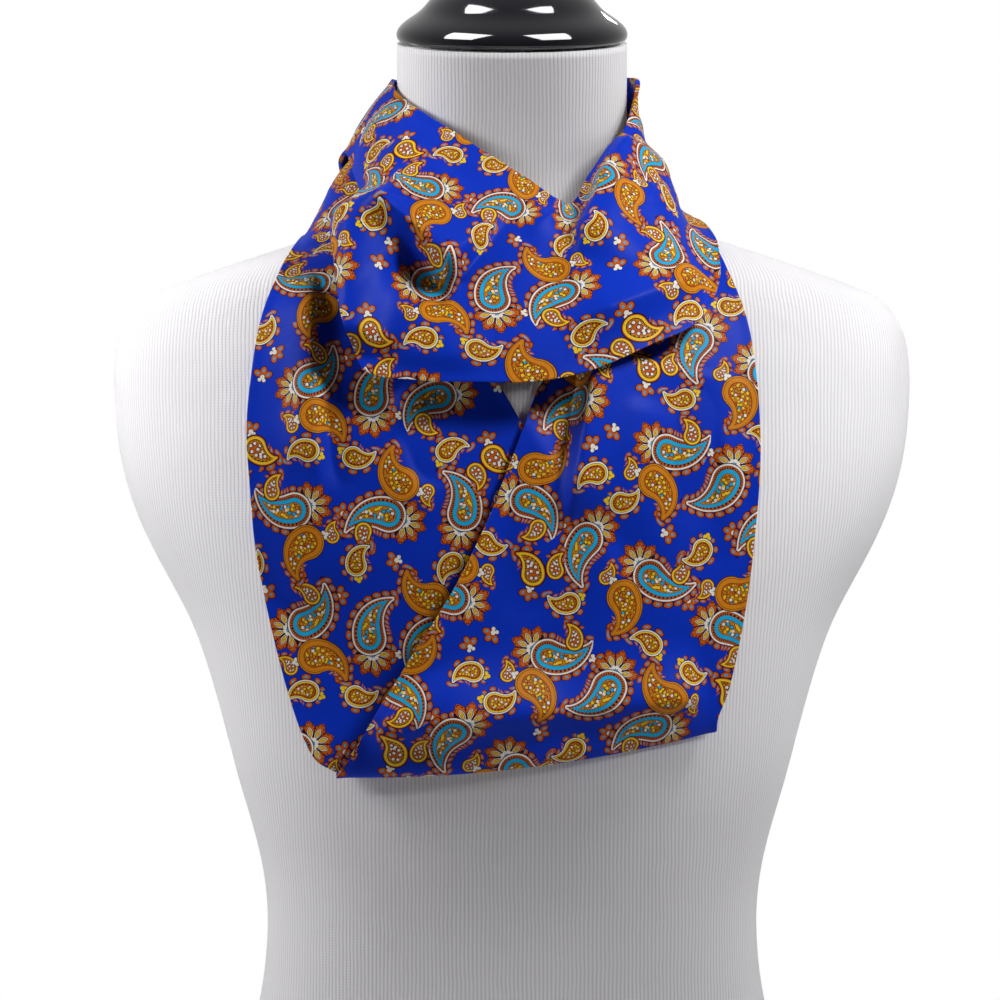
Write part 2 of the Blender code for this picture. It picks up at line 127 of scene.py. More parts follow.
@dataclass(frozen=True)
class FormShape:
    """The outer surface of the dress form as a formula, for whatever lies on it."""

    rows: tuple[FormRow, ...] = (
        FormRow(0, 163, -108, 114, 2.3),
        FormRow(5, 166, -110, 116, 2.3),
        FormRow(60, 162, -111, 117, 2.3),
        FormRow(110, 151, -107, 108, 2.3),
        FormRow(150, 142, -104, 99, 2.3),
        FormRow(185, 139.5, -103, 93, 2.3),
        FormRow(217, 143, -105, 92, 2.3),
        FormRow(262, 156, -110, 97, 2.35),
        FormRow(308, 168, -115, 104, 2.4),
        FormRow(354, 183, -119, 111, 2.5),
        FormRow(399, 208, -121, 116, 2.6),
        FormRow(445, 224, -119, 118, 2.7),
        FormRow(490, 228, -111, 117, 2.7),
        FormRow(513, 226, -103, 114, 2.65),
        FormRow(536, 213, -93, 108, 2.55),
        FormRow(547, 188, -87, 104, 2.4),
        FormRow(559, 154, -80, 99, 2.3),
        FormRow(570, 120, -73, 94, 2.2),
        FormRow(582, 92, -67, 89, 2.1),
        FormRow(596, 74, -61, 84, 2.0),
        FormRow(615, 67, -57.5, 77, 2.0),
        FormRow(650, 66, -58.5, 68, 2.0),
        FormRow(683, 66, -62, 61, 2.0),
    )
    neck_lean: float = 0.165
    lean_start: float = 600.0
    half_width: Curve = field(init=False)
    front: Curve = field(init=False)
    back: Curve = field(init=False)
    power: Curve = field(init=False)

    def __post_init__(self) -> None:
        """Makes a curve of each of the table's columns."""
        heights = [row.height for row in self.rows]
        for column in ("half_width", "front", "back", "power"):
            object.__setattr__(self, column, Curve(heights, [getattr(row, column) for row in self.rows]))

    @property
    def neck_top(self) -> float:
        """The height of the neck's top."""
        return self.rows[-1].height

    def level(self, points: Array) -> tuple[Array, Array, Array]:
        """Finds the form's section that goes through each point.

        Args:
            points: Points as rows of x, y and z.

        Returns:
            The section's height, the middle of its depth and half its depth.
        """
        y, z = points[:, 1], points[:, 2]
        lean = self.neck_lean * smooth_step((z - self.lean_start) / (self.neck_top - self.lean_start))
        height = z - lean * (y - (self.front(z) + self.back(z)) / 2)
        front, back = self.front(height), self.back(height)
        return height, (front + back) / 2, (back - front) / 2

    def measure(self, points: Array) -> Array:
        """Tells which side of the form's surface points lie on.

        Args:
            points: Points as rows of x, y and z.

        Returns:
            0 on the surface, below 0 inside it and above 0 outside.
        """
        height, middle, depth = self.level(points)
        across = np.abs(points[:, 0]) / self.half_width(height)
        deep = np.abs(points[:, 1] - middle) / depth
        power = self.power(height)
        return (across**power + deep**power) ** (1 / power) - 1

    def distance(self, points: Array, probe: float = 0.5) -> tuple[Array, Array]:
        """Measures how far points lie from the form's surface.

        Args:
            points: Points as rows of x, y and z.
            probe: How far apart the surface's slope is sampled.

        Returns:
            The distance of each point, and the way straight out of the form there.
        """
        value = self.measure(points)
        slope = np.empty_like(points)
        for axis in range(3):
            offset = np.zeros(3)
            offset[axis] = probe
            slope[:, axis] = (self.measure(points + offset) - self.measure(points - offset)) / (2 * probe)
        length = np.linalg.norm(slope, axis=1) + TINY
        return value / length, slope / length[:, None]

    def girth_from_middle(self, points: Array, steps: int = 48) -> Array:
        """Measures round the form from the middle of its front or back to each point of its surface.

        Args:
            points: Points as rows of x, y and z.
            steps: How many straight lines stand for the way round.

        Returns:
            The length of the way, below 0 on the side of -X.
        """
        height, middle, depth = self.level(points)
        power = self.power(height)
        across = (np.abs(points[:, 0]) / self.half_width(height)) ** (power / 2)
        deep = (np.abs(points[:, 1] - middle) / depth) ** (power / 2)
        turn = np.arctan2(across, deep)[:, None] * np.linspace(0, 1, steps + 1)
        x = self.half_width(height)[:, None] * np.sin(turn) ** (2 / power)[:, None]
        y = depth[:, None] * np.cos(turn) ** (2 / power)[:, None]
        return np.sign(points[:, 0]) * np.hypot(np.diff(x, axis=1), np.diff(y, axis=1)).sum(axis=1)


@dataclass(frozen=True)
class Section:
    """One section across the band: its neck edge, its outer edge, how its middle bulges out and sags."""

    x0: float
    y0: float
    z0: float
    x1: float
    y1: float
    z1: float
    bulge: float
    sag: float


@dataclass(frozen=True)
class Fold:
    """A fold as the front shows it: its ends, its width on its left and right, its height, its fades.

    Its edge is 2 for a round back, and nearer to 1 for a crisp one.
    """

    x0: float
    z0: float
    x1: float
    z1: float
    left: float
    right: float
    height: float
    head: float
    tail: float
    edge: float = 2.0

    def lift(self, grid: Array) -> Array:
        """Works out how far the fold lifts the cloth.

        Args:
            grid: The cloth's points, along and across it.

        Returns:
            The height of the fold at each point.
        """
        run = np.array([self.x1 - self.x0, self.z1 - self.z0])
        length = np.linalg.norm(run)
        way = run / length
        offset = grid[:, :, [0, 2]] - np.array([self.x0, self.z0])
        along = offset @ way / length
        side = offset @ np.array([-way[1], way[0]])
        width = np.where(side > 0, self.right, self.left)
        ends = smooth_step(along / self.head) * smooth_step((1 - along) / self.tail)
        last_y, fade = 20, 30
        facing_front = smooth_step((last_y - grid[:, :, 1]) / fade)
        return self.height * np.exp(-(np.abs(side / width) ** self.edge)) * ends * facing_front


@dataclass(frozen=True)
class Pleat:
    """A pleat along a stretch: its place across the band at either end, its width as a share, its height."""

    start: float
    end: float
    width: float
    height: float

    def lift(self, along: int, across: int, fade: float = 0.15) -> Array:
        """Works out how far the pleat lifts the cloth.

        Args:
            along: The number of points along the stretch.
            across: The number of points across it.
            fade: The share of the stretch over which the pleat comes in and dies away.

        Returns:
            The height of the pleat at each point.
        """
        run = np.linspace(0, 1, along)[:, None]
        place = self.start + (self.end - self.start) * run
        ends = smooth_step(run / fade) * smooth_step((1 - run) / fade)
        return self.height * np.exp(-(((np.linspace(0, 1, across) - place) / self.width) ** 2)) * ends


@dataclass(frozen=True)
class Stretch:
    """One stretch of a loop, which stands for a node of the part, with what is folded into it."""

    node: str
    sections: tuple[Section, ...]
    folds: tuple[Fold, ...] = ()
    pleats: tuple[Pleat, ...] = ()


LEFT = Stretch(
    "scarf_lower_left",
    (
        Section(110, -98, 298, -98, -111, 271.5, 12, 7),
        Section(103, -100, 309, -111, -110, 281, 11, 6),
        Section(92, -103, 326, -123, -106, 311, 9, 4),
        Section(70, -108, 360, -134.5, -103, 355, 6, 2),
        Section(48, -112, 395, -142, -100, 395, 3, 0),
        Section(26, -114, 428, -145, -98, 428, 1, 0),
        Section(7, -113, 461, -147, -94, 460, 0, 0),
        Section(-8, -108, 487, -145, -98, 488, 0, 0),
        Section(-26, -96, 517, -140, -87, 520, 0, 0),
        Section(-46, -74, 556, -131, -68, 546, 0, 0),
        Section(-63, -36, 594, -123, -42, 563, 2, 0),
        Section(-78, 4, 632, -117, 6, 571, 5, 0),
    ),
    folds=(
        Fold(-93, 566, -91, 424, 10, 17, -18.0, 0.2, 0.35, 1.6),
        Fold(-112, 556, -106, 400, 18, 8, 8.0, 0.2, 0.4, 1.5),
        Fold(-62, 492, -46, 396, 20, 14, 4.5, 0.2, 0.5),
        Fold(-124, 440, -104, 330, 14, 24, 3.0, 0.3, 0.5),
        Fold(-60, 400, -100, 300, 22, 16, -3.0, 0.4, 0.5),
        Fold(-58, 472, -42, 424, 10, 14, -6.0, 0.3, 0.4),
        Fold(-22, 430, -40, 380, 12, 9, -4.0, 0.3, 0.4),
        Fold(-112, 500, -124, 420, 7, 10, 1.8, 0.3, 0.5),
        Fold(-82, 470, -72, 400, 8, 11, -1.6, 0.3, 0.6),
        Fold(-116, 360, -96, 300, 8, 12, 1.5, 0.4, 0.5),
    ),
)
BACK = Stretch(
    "scarf_lower_back",
    (
        Section(-76, 40, 622, -110, 60, 563, 2, 0),
        Section(-50, 76, 610, -84, 96, 542, 0, 0),
        Section(0, 88, 602, 0, 112, 530, 0, 0),
        Section(50, 76, 602, 84, 96, 540, 0, 0),
        Section(74, 40, 602, 98, 60, 565, 0, 0),
        Section(73, 4, 602, 97, 6, 580, 0, 0),
    ),
    pleats=(Pleat(0.75, 0.7, 0.12, 1.6), Pleat(0.42, 0.5, 0.05, -1.0), Pleat(0.24, 0.2, 0.06, 1.2)),
)
RIGHT = Stretch(
    "scarf_lower_right",
    (
        Section(60, -40, 585, 105, -20, 572, 0, 0),
        Section(43, -82, 548, 118, -62, 555, 0, 0),
        Section(27, -100, 515, 130, -87, 524, 0, 0),
        Section(15, -110, 487, 135, -99, 494, 0, 0),
        Section(6, -116, 462, 137, -104, 463, 0, 0),
        Section(-2, -120, 440, 137, -106, 440, 0, 0),
        Section(-14, -124, 410, 135, -107, 412, 2, 0),
        Section(-33, -127, 371, 132, -108, 382, 5, 1),
        Section(-55, -128, 336, 127, -108, 350, 8, 3),
        Section(-76, -127, 301, 120, -107, 318, 10, 5),
        Section(-92, -123, 277, 114, -106, 302, 12, 7),
        Section(-97, -118, 269.5, 113, -102, 294.5, 12, 7),
        Section(-97, -112.5, 271, 111, -98.5, 296.5, 12, 7),
    ),
    folds=(
        Fold(48, 506, 28, 392, 8, 30, 17.0, 0.05, 0.4, 1.3),
        Fold(33, 500, 11, 396, 14, 8, -9.0, 0.1, 0.45, 1.6),
        Fold(96, 500, 104, 400, 20, 12, -3.5, 0.3, 0.5),
        Fold(6, 458, -72, 312, 7, 20, 7.0, 0.2, 0.3, 1.5),
        Fold(-84, 294, 110, 315, 10, 24, 12.0, 0.1, 0.1, 1.6),
        Fold(104, 420, 66, 322, 24, 20, 4.0, 0.4, 0.5),
        Fold(14, 360, 44, 282, 18, 26, -4.5, 0.4, 0.5),
        Fold(-44, 332, -22, 284, 14, 22, 4.0, 0.4, 0.4),
        Fold(72, 480, 60, 420, 8, 14, 2.2, 0.2, 0.6),
        Fold(118, 470, 122, 380, 7, 9, 1.8, 0.3, 0.5),
        Fold(22, 402, -2, 350, 8, 12, -2.0, 0.3, 0.6),
        Fold(88, 360, 98, 306, 9, 13, -2.0, 0.4, 0.5),
        Fold(-64, 306, -40, 276, 8, 12, -2.0, 0.4, 0.5),
    ),
)
COWL = Stretch(
    "scarf_upper_front",
    (
        Section(-66, -12, 655, -90, -22, 610, 5, 0),
        Section(-60, -27, 648, -85, -58, 590, 8, 0),
        Section(-50, -42, 640, -92, -92, 560, 10, 0),
        Section(-37, -54, 631, -88, -116, 520, 11, 0),
        Section(-21, -62, 620, -82, -125, 494, 12, 0),
        Section(-4, -67, 609, -52, -131, 488, 12, 1),
        Section(13, -70, 598, -20, -135, 487, 12, 0),
        Section(29, -71, 588, 10, -137, 487, 12, 0),
        Section(43, -64, 600, 42, -134, 493, 12, 0),
        Section(55, -50, 615, 75, -125, 507, 11, 0),
        Section(63, -30, 631, 104, -110, 522, 6, 2),
        Section(69, -12, 648, 116, -74, 551, -7, 2),
        Section(72, 4, 662, 102, 4, 579, -12, 0),
    ),
    folds=(
        Fold(-82, 590, -28, 545, 6, 26, 16.0, 0.2, 0.12, 1.3),
        Fold(-70, 560, -30, 532, 14, 9, -9.0, 0.25, 0.25),
        Fold(-84, 600, -87, 500, 13, 14, 14.0, 0.25, 0.15, 1.6),
        Fold(66, 630, 35, 554, 7, 26, 14.0, 0.2, 0.25, 1.3),
        Fold(48, 600, 26, 556, 12, 9, -5.0, 0.3, 0.4),
        Fold(34, 588, 4, 568, 6, 14, 6.0, 0.3, 0.5, 1.4),
        Fold(24, 514, 110, 546, 10, 24, 10.0, 0.35, 0.2, 1.4),
        Fold(-76, 506, -8, 500, 9, 18, 4.0, 0.3, 0.4),
        Fold(100, 590, 60, 540, 18, 20, -3.0, 0.4, 0.5),
        Fold(-44, 618, -10, 590, 7, 10, -1.8, 0.3, 0.5),
        Fold(76, 600, 92, 560, 8, 10, 2.0, 0.3, 0.5),
        Fold(10, 560, 44, 530, 9, 14, -2.0, 0.4, 0.5),
        Fold(-60, 530, -30, 505, 6, 9, 1.8, 0.3, 0.5),
    ),
)
NAPE = Stretch(
    "scarf_upper_back",
    (
        Section(64, 38, 666, 101, 56, 571, -6, 0),
        Section(38, 57, 669, 72, 98, 560, 3, 0),
        Section(0, 64, 671, 0, 118, 556, 5, 0),
        Section(-38, 57, 668, -66, 98, 572, 4, 0),
        Section(-62, 40, 664, -96, 56, 598, 3, 0),
        Section(-68, 6, 662, -95, 6, 620, 3, 0),
    ),
    pleats=(
        Pleat(0.3, 0.3, 0.1, 3.4),
        Pleat(0.52, 0.5, 0.08, -3.0),
        Pleat(0.75, 0.72, 0.1, 3.8),
        Pleat(0.4, 0.44, 0.04, 1.4),
        Pleat(0.88, 0.86, 0.05, -1.8),
    ),
)


def select_only(piece: bpy.types.Object) -> None:
    """Makes one object the only selected one, and the active one.

    Args:
        piece: The object.
    """
    bpy.ops.object.select_all(action="DESELECT")
    piece.select_set(True)
    bpy.context.view_layer.objects.active = piece


def apply_modifiers(piece: bpy.types.Object) -> None:
    """Applies all of a piece's modifiers in their order.

    Args:
        piece: The piece.
    """
    select_only(piece)
    for modifier in list(piece.modifiers):
        bpy.ops.object.modifier_apply(modifier=modifier.name)


@dataclass
class ScarfLoop:
    """One turn of the scarf round the neck: a flat tube of satin through sections, as a thin shell."""

    name: str
    stretches: tuple[Stretch, ...]
    closed: bool
    rows_per_section: int
    points_across: int
    flat_length: float
    flat_area: float
    print_up: tuple[tuple[float, float, float], tuple[float, float, float]]
    form: FormShape
    map_rows: int = 91
    map_columns: int = 25
    band_width: float = 202.0
    wall: float = 1.1
    edge_roll: float = 2.3
    roll_reach: float = 3.5
    skin_gap: float = 0.75
    layer_rise: float = 4.6
    edge_softness: float = 16.0
    rim_share: float = 0.4
    rim_segments: int = 3
    rim_angle: float = 60.0
    unwrap_rounds: int = 12
    grid: Array = field(init=False)
    piece: bpy.types.Object = field(init=False)

    def through_sections(self) -> Array:
        """Draws a smooth curve through the sections' numbers.

        Returns:
            A row of numbers for each line across the band.
        """
        rows = np.array([astuple(s) for stretch in self.stretches for s in stretch.sections], float)
        before = rows[-1] if self.closed else 2 * rows[0] - rows[1]
        after = rows[:2] if self.closed else [2 * rows[-1] - rows[-2]]
        padded = np.vstack([before, rows, *after])
        found = []
        for i in range(len(padded) - 3):
            p0, p1, p2, p3 = padded[i : i + 4]
            bend = 2 * p0 - 5 * p1 + 4 * p2 - p3
            twist = 3 * p1 - p0 - 3 * p2 + p3
            for k in range(self.rows_per_section):
                t = k / self.rows_per_section
                found.append(p1 + 0.5 * ((p2 - p0) * t + bend * t**2 + twist * t**3))
        if not self.closed:
            found.append(rows[-1])
        return np.array(found)

    def way_out(self, out: Array) -> Array:
        """Turns the ways out of the form straight forward where the form faces the front.

        Args:
            out: The way straight out of the form at each point.

        Returns:
            The way in which cloth is moved there.
        """
        facing_side, facing_front = 0.3, 0.65
        share = smooth_step((-out[:, 1] - facing_side) / (facing_front - facing_side))[:, None]
        way = (1 - share) * out + share * np.array([0.0, -1.0, 0.0])
        return way / np.linalg.norm(way, axis=1, keepdims=True)

    def lay_on_form(self, grid: Array, rounds: int = 8) -> Array:
        """Moves points that lie too near the form, or inside it, out to lie close over it.

        Args:
            grid: The cloth's points.
            rounds: How often the push is repeated.

        Returns:
            The moved points.
        """
        close = self.skin_gap + self.edge_roll / 2
        points = grid.reshape(-1, 3)
        for _ in range(rounds):
            distance, out = self.form.distance(points)
            way = self.way_out(out)
            move = np.maximum(close - distance, 0) / (way * out).sum(axis=1)
            points = points + way * move[:, None]
        return points.reshape(grid.shape)

    def band(self) -> Array:
        """Lays the band on the form without its folds.

        Returns:
            The points of the cloth's middle surface, along and across the band.
        """
        rows = self.through_sections()
        if self.closed:
            rows = np.roll(rows, self.rows_per_section, axis=0)
        t = np.linspace(0, 1, self.points_across)
        neck, outer = rows[:, None, 0:3], rows[:, None, 3:6]
        bulge, sag = rows[:, None, 6:7], rows[:, 7:8]
        arch = 4 * t * (1 - t)
        grid = neck + (outer - neck) * t[None, :, None]
        _, out = self.form.distance(grid.reshape(-1, 3))
        grid = grid + self.way_out(out).reshape(grid.shape) * bulge * arch[None, :, None]
        grid[:, :, 2] -= sag * arch
        return self.lay_on_form(grid)

    def normals(self, grid: Array) -> Array:
        """Finds the way out of the cloth, away from the form.

        Args:
            grid: The cloth's points.

        Returns:
            A unit vector for each point.
        """
        if self.closed:
            before, after = grid[-1:], grid[:1]
        else:
            before, after = 2 * grid[:1] - grid[1:2], 2 * grid[-1:] - grid[-2:-1]
        along = np.gradient(np.concatenate([before, grid, after]), axis=0)[1:-1]
        normal = np.cross(along, np.gradient(grid, axis=1))
        normal /= np.linalg.norm(normal, axis=2, keepdims=True) + TINY
        return normal * np.sign(self.facing(grid))

    def stretch_rows(self) -> list[slice]:
        """Tells which rows of the grid belong to each stretch.

        Returns:
            A slice of rows for each stretch, in their order.
        """
        found, first = [], 0
        for i, stretch in enumerate(self.stretches):
            sections = len(stretch.sections) - (0 if self.closed or i else 1)
            last = first + sections * self.rows_per_section
            found.append(slice(first, last if self.closed else last + 1))
            first = last
        return found

    def fold(self, grid: Array) -> Array:
        """Raises the folds and pleats of every stretch.

        Args:
            grid: The cloth's points.

        Returns:
            The folded cloth's points.
        """
        height = np.zeros(grid.shape[:2])
        for stretch, rows in zip(self.stretches, self.stretch_rows()):
            part = grid[rows]
            lift = sum((f.lift(part) for f in stretch.folds), np.zeros(part.shape[:2]))
            lift = sum((p.lift(*part.shape[:2]) for p in stretch.pleats), lift)
            height[rows] = np.where(np.abs(lift) > np.abs(height[rows]), lift, height[rows])
        return self.lay_on_form(grid + self.normals(grid) * height[:, :, None])

    def lay_over(self, grid: Array, under: Array, rise: Array, rounds: int = 4) -> Array:
        """Lifts cloth that lies lower than its rise over the cloth below it.

        Args:
            grid: The upper cloth's points.
            under: The lower cloth's points.
            rise: How high each row of the upper cloth lies over the lower one.
            rounds: How often the lift is repeated.

        Returns:
            The lifted cloth's points.
        """
        tree = BVHTree.FromPolygons(under.reshape(-1, 3).tolist(), grid_faces(*under.shape[:2]))
        wanted = np.repeat(rise, grid.shape[1])
        for _ in range(rounds):
            flat = grid.reshape(-1, 3)
            _, out = self.form.distance(flat)
            near = [tree.find_nearest(point) for point in flat.tolist()]
            gap = flat - np.array([found[0] for found in near])
            height = (gap * out).sum(axis=1)
            aside = np.sqrt(np.maximum(np.array([found[3] for found in near]) ** 2 - height**2, 0))
            push = np.maximum(wanted * (1 - smooth_step(aside / self.edge_softness)) - height, 0)
            push[aside >= self.edge_softness] = 0
            push = ease(push.reshape(grid.shape[:2])).ravel()
            grid = (flat + self.way_out(out) * push[:, None]).reshape(grid.shape)
        return grid

    def settle(self, grid: Array) -> Array:
        """Lays the folded cloth over what is below it. A loop on its own has nothing below it."""
        return grid

    def build(self) -> None:
        """Makes the loop's mesh, its print layout and its wall."""
        self.grid = self.settle(self.fold(self.band()))
        if self.closed:
            behind = int(np.argmax(self.grid[:, self.points_across // 2, 1]))
            self.grid = np.roll(self.grid, -behind, axis=0)
        mesh = bpy.data.meshes.new(self.name)
        points = (self.grid.reshape(-1, 3) + [0, DEPTH_SHIFT, 0]) * MM
        faces = np.array(grid_faces(*self.grid.shape[:2], self.closed))
        inside_out = self.facing(self.grid) > 0
        mesh.from_pydata(points.tolist(), [], (faces[:, ::-1] if inside_out else faces).tolist())
        mesh.shade_smooth()
        self.piece = bpy.data.objects.new(self.name, mesh)
        bpy.context.scene.collection.objects.link(self.piece)
        flat = self.upright(self.unroll())
        corners = np.stack([flat[:-1, :-1], flat[:-1, 1:], flat[1:, 1:], flat[1:, :-1]], axis=2)
        corners = corners[:, :, ::-1] if inside_out else corners
        mesh.uv_layers.new(name="print").uv.foreach_set("vector", corners.ravel())
        self.give_wall()
        polygons = self.piece.data.polygons
        area = sum(face.area for face in polygons) / 2
        LOG.info("%s: %d faces, %.2f m long, %.3f m2", self.name, len(polygons), self.length(), area)

    def open_grid(self) -> Array:
        """The grid with its first row repeated at its end where the loop is closed."""
        return np.vstack([self.grid, self.grid[:1]]) if self.closed else self.grid

    def length(self) -> float:
        """The length of the band's middle line, in metres."""
        middle = self.open_grid()[:, self.points_across // 2]
        return float(np.linalg.norm(np.diff(middle, axis=0), axis=1).sum()) * MM

    def unroll(self) -> Array:
        """Unrolls the cloth with as little stretch as it allows. A closed loop is cut behind the neck.

        Returns:
            The flat place in metres of each point of the open grid.
        """
        whole = self.open_grid()
        rows = np.unique(np.linspace(0, len(whole) - 1, self.map_rows).round().astype(int))
        columns = np.linspace(0, self.points_across - 1, self.map_columns).round().astype(int)
        coarse = whole[np.ix_(rows, columns)]
        mesh = bpy.data.meshes.new("unrolled")
        mesh.from_pydata((coarse.reshape(-1, 3) * MM).tolist(), [], grid_faces(*coarse.shape[:2]))
        mesh.uv_layers.new(name="flat")
        helper = bpy.data.objects.new("unrolled", mesh)
        bpy.context.scene.collection.objects.link(helper)
        select_only(helper)
        bpy.ops.object.mode_set(mode="EDIT")
        bpy.ops.mesh.select_all(action="SELECT")
        rounds = self.unwrap_rounds
        bpy.ops.uv.unwrap(method="MINIMUM_STRETCH", iterations=rounds, fill_holes=False, margin=0)
        bpy.ops.object.mode_set(mode="OBJECT")
        corner_flat = np.empty(len(mesh.loops) * 2)
        mesh.uv_layers["flat"].uv.foreach_get("vector", corner_flat)
        corner_flat = corner_flat.reshape(-1, 2)
        quads = corner_flat.reshape(-1, 4, 2)
        one, other = quads[:, 2] - quads[:, 0], quads[:, 3] - quads[:, 1]
        flat_area = np.abs(one[:, 0] * other[:, 1] - one[:, 1] * other[:, 0]).sum() / 2
        scale = math.sqrt(sum(face.area for face in mesh.polygons) / flat_area)
        flat = np.empty((len(mesh.vertices), 2))
        flat[corner_vertices(mesh)] = corner_flat * scale
        bpy.data.objects.remove(helper)
        flat = flat.reshape(*coarse.shape[:2], 2)
        every_row, every_column = np.arange(len(whole)), np.arange(self.points_across)
        found = np.empty((len(whole), self.points_across, 2))
        for axis in range(2):
            wide = np.array([Curve(columns, line)(every_column) for line in flat[:, :, axis]])
            found[:, :, axis] = np.array([Curve(rows, line)(every_row) for line in wide.T]).T
        return found

    def upright(self, flat: Array) -> Array:
        """Turns the unrolled cloth so that its print stands upright at the front.

        Args:
            flat: The flat place of each point.

        Returns:
            The turned places.
        """
        points = self.open_grid().reshape(-1, 3) + [0, DEPTH_SHIFT, 0]
        ends = [np.argmin(np.linalg.norm(points - place, axis=1)) for place in self.print_up]
        low, high = flat.reshape(-1, 2)[ends]
        way = (high - low) / np.linalg.norm(high - low)
        across = np.array([way[1], -way[0]])
        turned = (flat - low) @ np.stack([across, way], axis=1)
        row_way, column_way = np.gradient(turned, axis=0), np.gradient(turned, axis=1)
        handed = (row_way[:, :, 0] * column_way[:, :, 1] - row_way[:, :, 1] * column_way[:, :, 0]).sum()
        return turned if handed * self.facing(self.open_grid()) > 0 else turned * [-1, 1]

    def facing(self, grid: Array) -> float:
        """Tells on which side the grid shows its face.

        Args:
            grid: The cloth's points.

        Returns:
            Above 0 where the rows' way crossed with the columns' way points out of the form.
        """
        cross = np.cross(np.gradient(grid, axis=0), np.gradient(grid, axis=1))
        _, out = self.form.distance(grid.reshape(-1, 3))
        return (cross.reshape(-1, 3) * out).sum()

    def give_wall(self) -> None:
        """Gives the cloth its thickness, with softly rolled long edges where the tube is folded flat."""
        across = np.linalg.norm(np.diff(self.grid, axis=1), axis=2)
        reach = np.concatenate([np.zeros((len(across), 1)), np.cumsum(across, axis=1)], axis=1)
        edge = np.minimum(reach, reach[:, -1:] - reach)
        share = self.wall / self.edge_roll
        weight = share + (1 - share) * np.exp(-((edge / self.roll_reach) ** 2))
        group = self.piece.vertex_groups.new(name="wall")
        for i, value in enumerate(weight.ravel().tolist()):
            group.add([i], value, "REPLACE")
        wall = self.piece.modifiers.new("wall", "SOLIDIFY")
        wall.thickness = self.edge_roll * MM
        wall.offset = 0
        wall.vertex_group = group.name
        rim = self.piece.modifiers.new("rim", "BEVEL")
        rim.width = self.edge_roll * MM * self.rim_share
        rim.segments = self.rim_segments
        rim.limit_method = "ANGLE"
        rim.angle_limit = math.radians(self.rim_angle)
        apply_modifiers(self.piece)
        self.piece.vertex_groups.clear()

    def dress(self, satin: "PrintedSatin") -> None:
        """Gives the loop its print, hangs it on the root body and hides the part's nodes that it stands for.

        Args:
            satin: The scarf's finish.
        """
        self.piece.data.materials.clear()
        self.piece.data.materials.append(satin.material())
        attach(self.piece, "root")
        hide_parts(*(stretch.node for stretch in self.stretches))


def grid_faces(along: int, across: int, closed: bool = False) -> list[tuple[int, int, int, int]]:
    """Lists the four-sided faces of a grid of points.

    Args:
        along: The number of points along it.
        across: The number of points across it.
        closed: Whether its last row joins its first.

    Returns:
        The faces, as the numbers of their points.
    """
    rows = range(along if closed else along - 1)
    return [
        (
            i * across + j,
            i * across + j + 1,
            (i + 1) % along * across + j + 1,
            (i + 1) % along * across + j,
        )
        for i in rows
        for j in range(across - 1)
    ]


def corner_vertices(mesh: bpy.types.Mesh) -> Array:
    """Lists the vertex at each corner of a mesh's faces.

    Args:
        mesh: The mesh.

    Returns:
        The vertices' numbers.
    """
    found = np.empty(len(mesh.loops), int)
    mesh.loops.foreach_get("vertex_index", found)
    return found


def ease(push: Array, rounds: int = 6) -> Array:
    """Eases each push of a grid into its neighbours, without lowering any.

    Args:
        push: How far each point is moved.
        rounds: How far the easing reaches, in points.

    Returns:
        The eased pushes.
    """
    for _ in range(rounds):
        wide = np.pad(push, 1, mode="edge")
        mean = (wide[:-2, 1:-1] + wide[2:, 1:-1] + wide[1:-1, :-2] + wide[1:-1, 2:]) / 4
        push = np.maximum(push, mean)
    return push


@dataclass
class LowerLoop(ScarfLoop):
    """The long loop, whose right stretch crosses over its left one and rolls under at the hem."""

    rolled_sections: int = 2
    rising_sections: int = 2

    def settle(self, grid: Array) -> Array:
        """Lays the right stretch over the left one, down to the rolled hem.

        Args:
            grid: The folded cloth's points.

        Returns:
            The settled cloth's points.
        """
        left, _, right = self.stretch_rows()
        rows = len(grid[right])
        to_hem = (rows - 1 - np.arange(rows)) / self.rows_per_section
        rise = self.layer_rise * smooth_step((to_hem - self.rolled_sections) / self.rising_sections)
        grid[right] = self.lay_over(grid[right], grid[left], rise)
        return grid


@dataclass
class UpperLoop(ScarfLoop):
    """The cowl at the front of the neck and the gathered turn behind it, over the lower loop."""

    below: LowerLoop | None = None

    def settle(self, grid: Array) -> Array:
        """Lays the cowl over the lower loop.

        Args:
            grid: The folded cloth's points.

        Returns:
            The settled cloth's points.
        """
        return self.lay_over(grid, self.below.grid, np.full(len(grid), self.layer_rise))


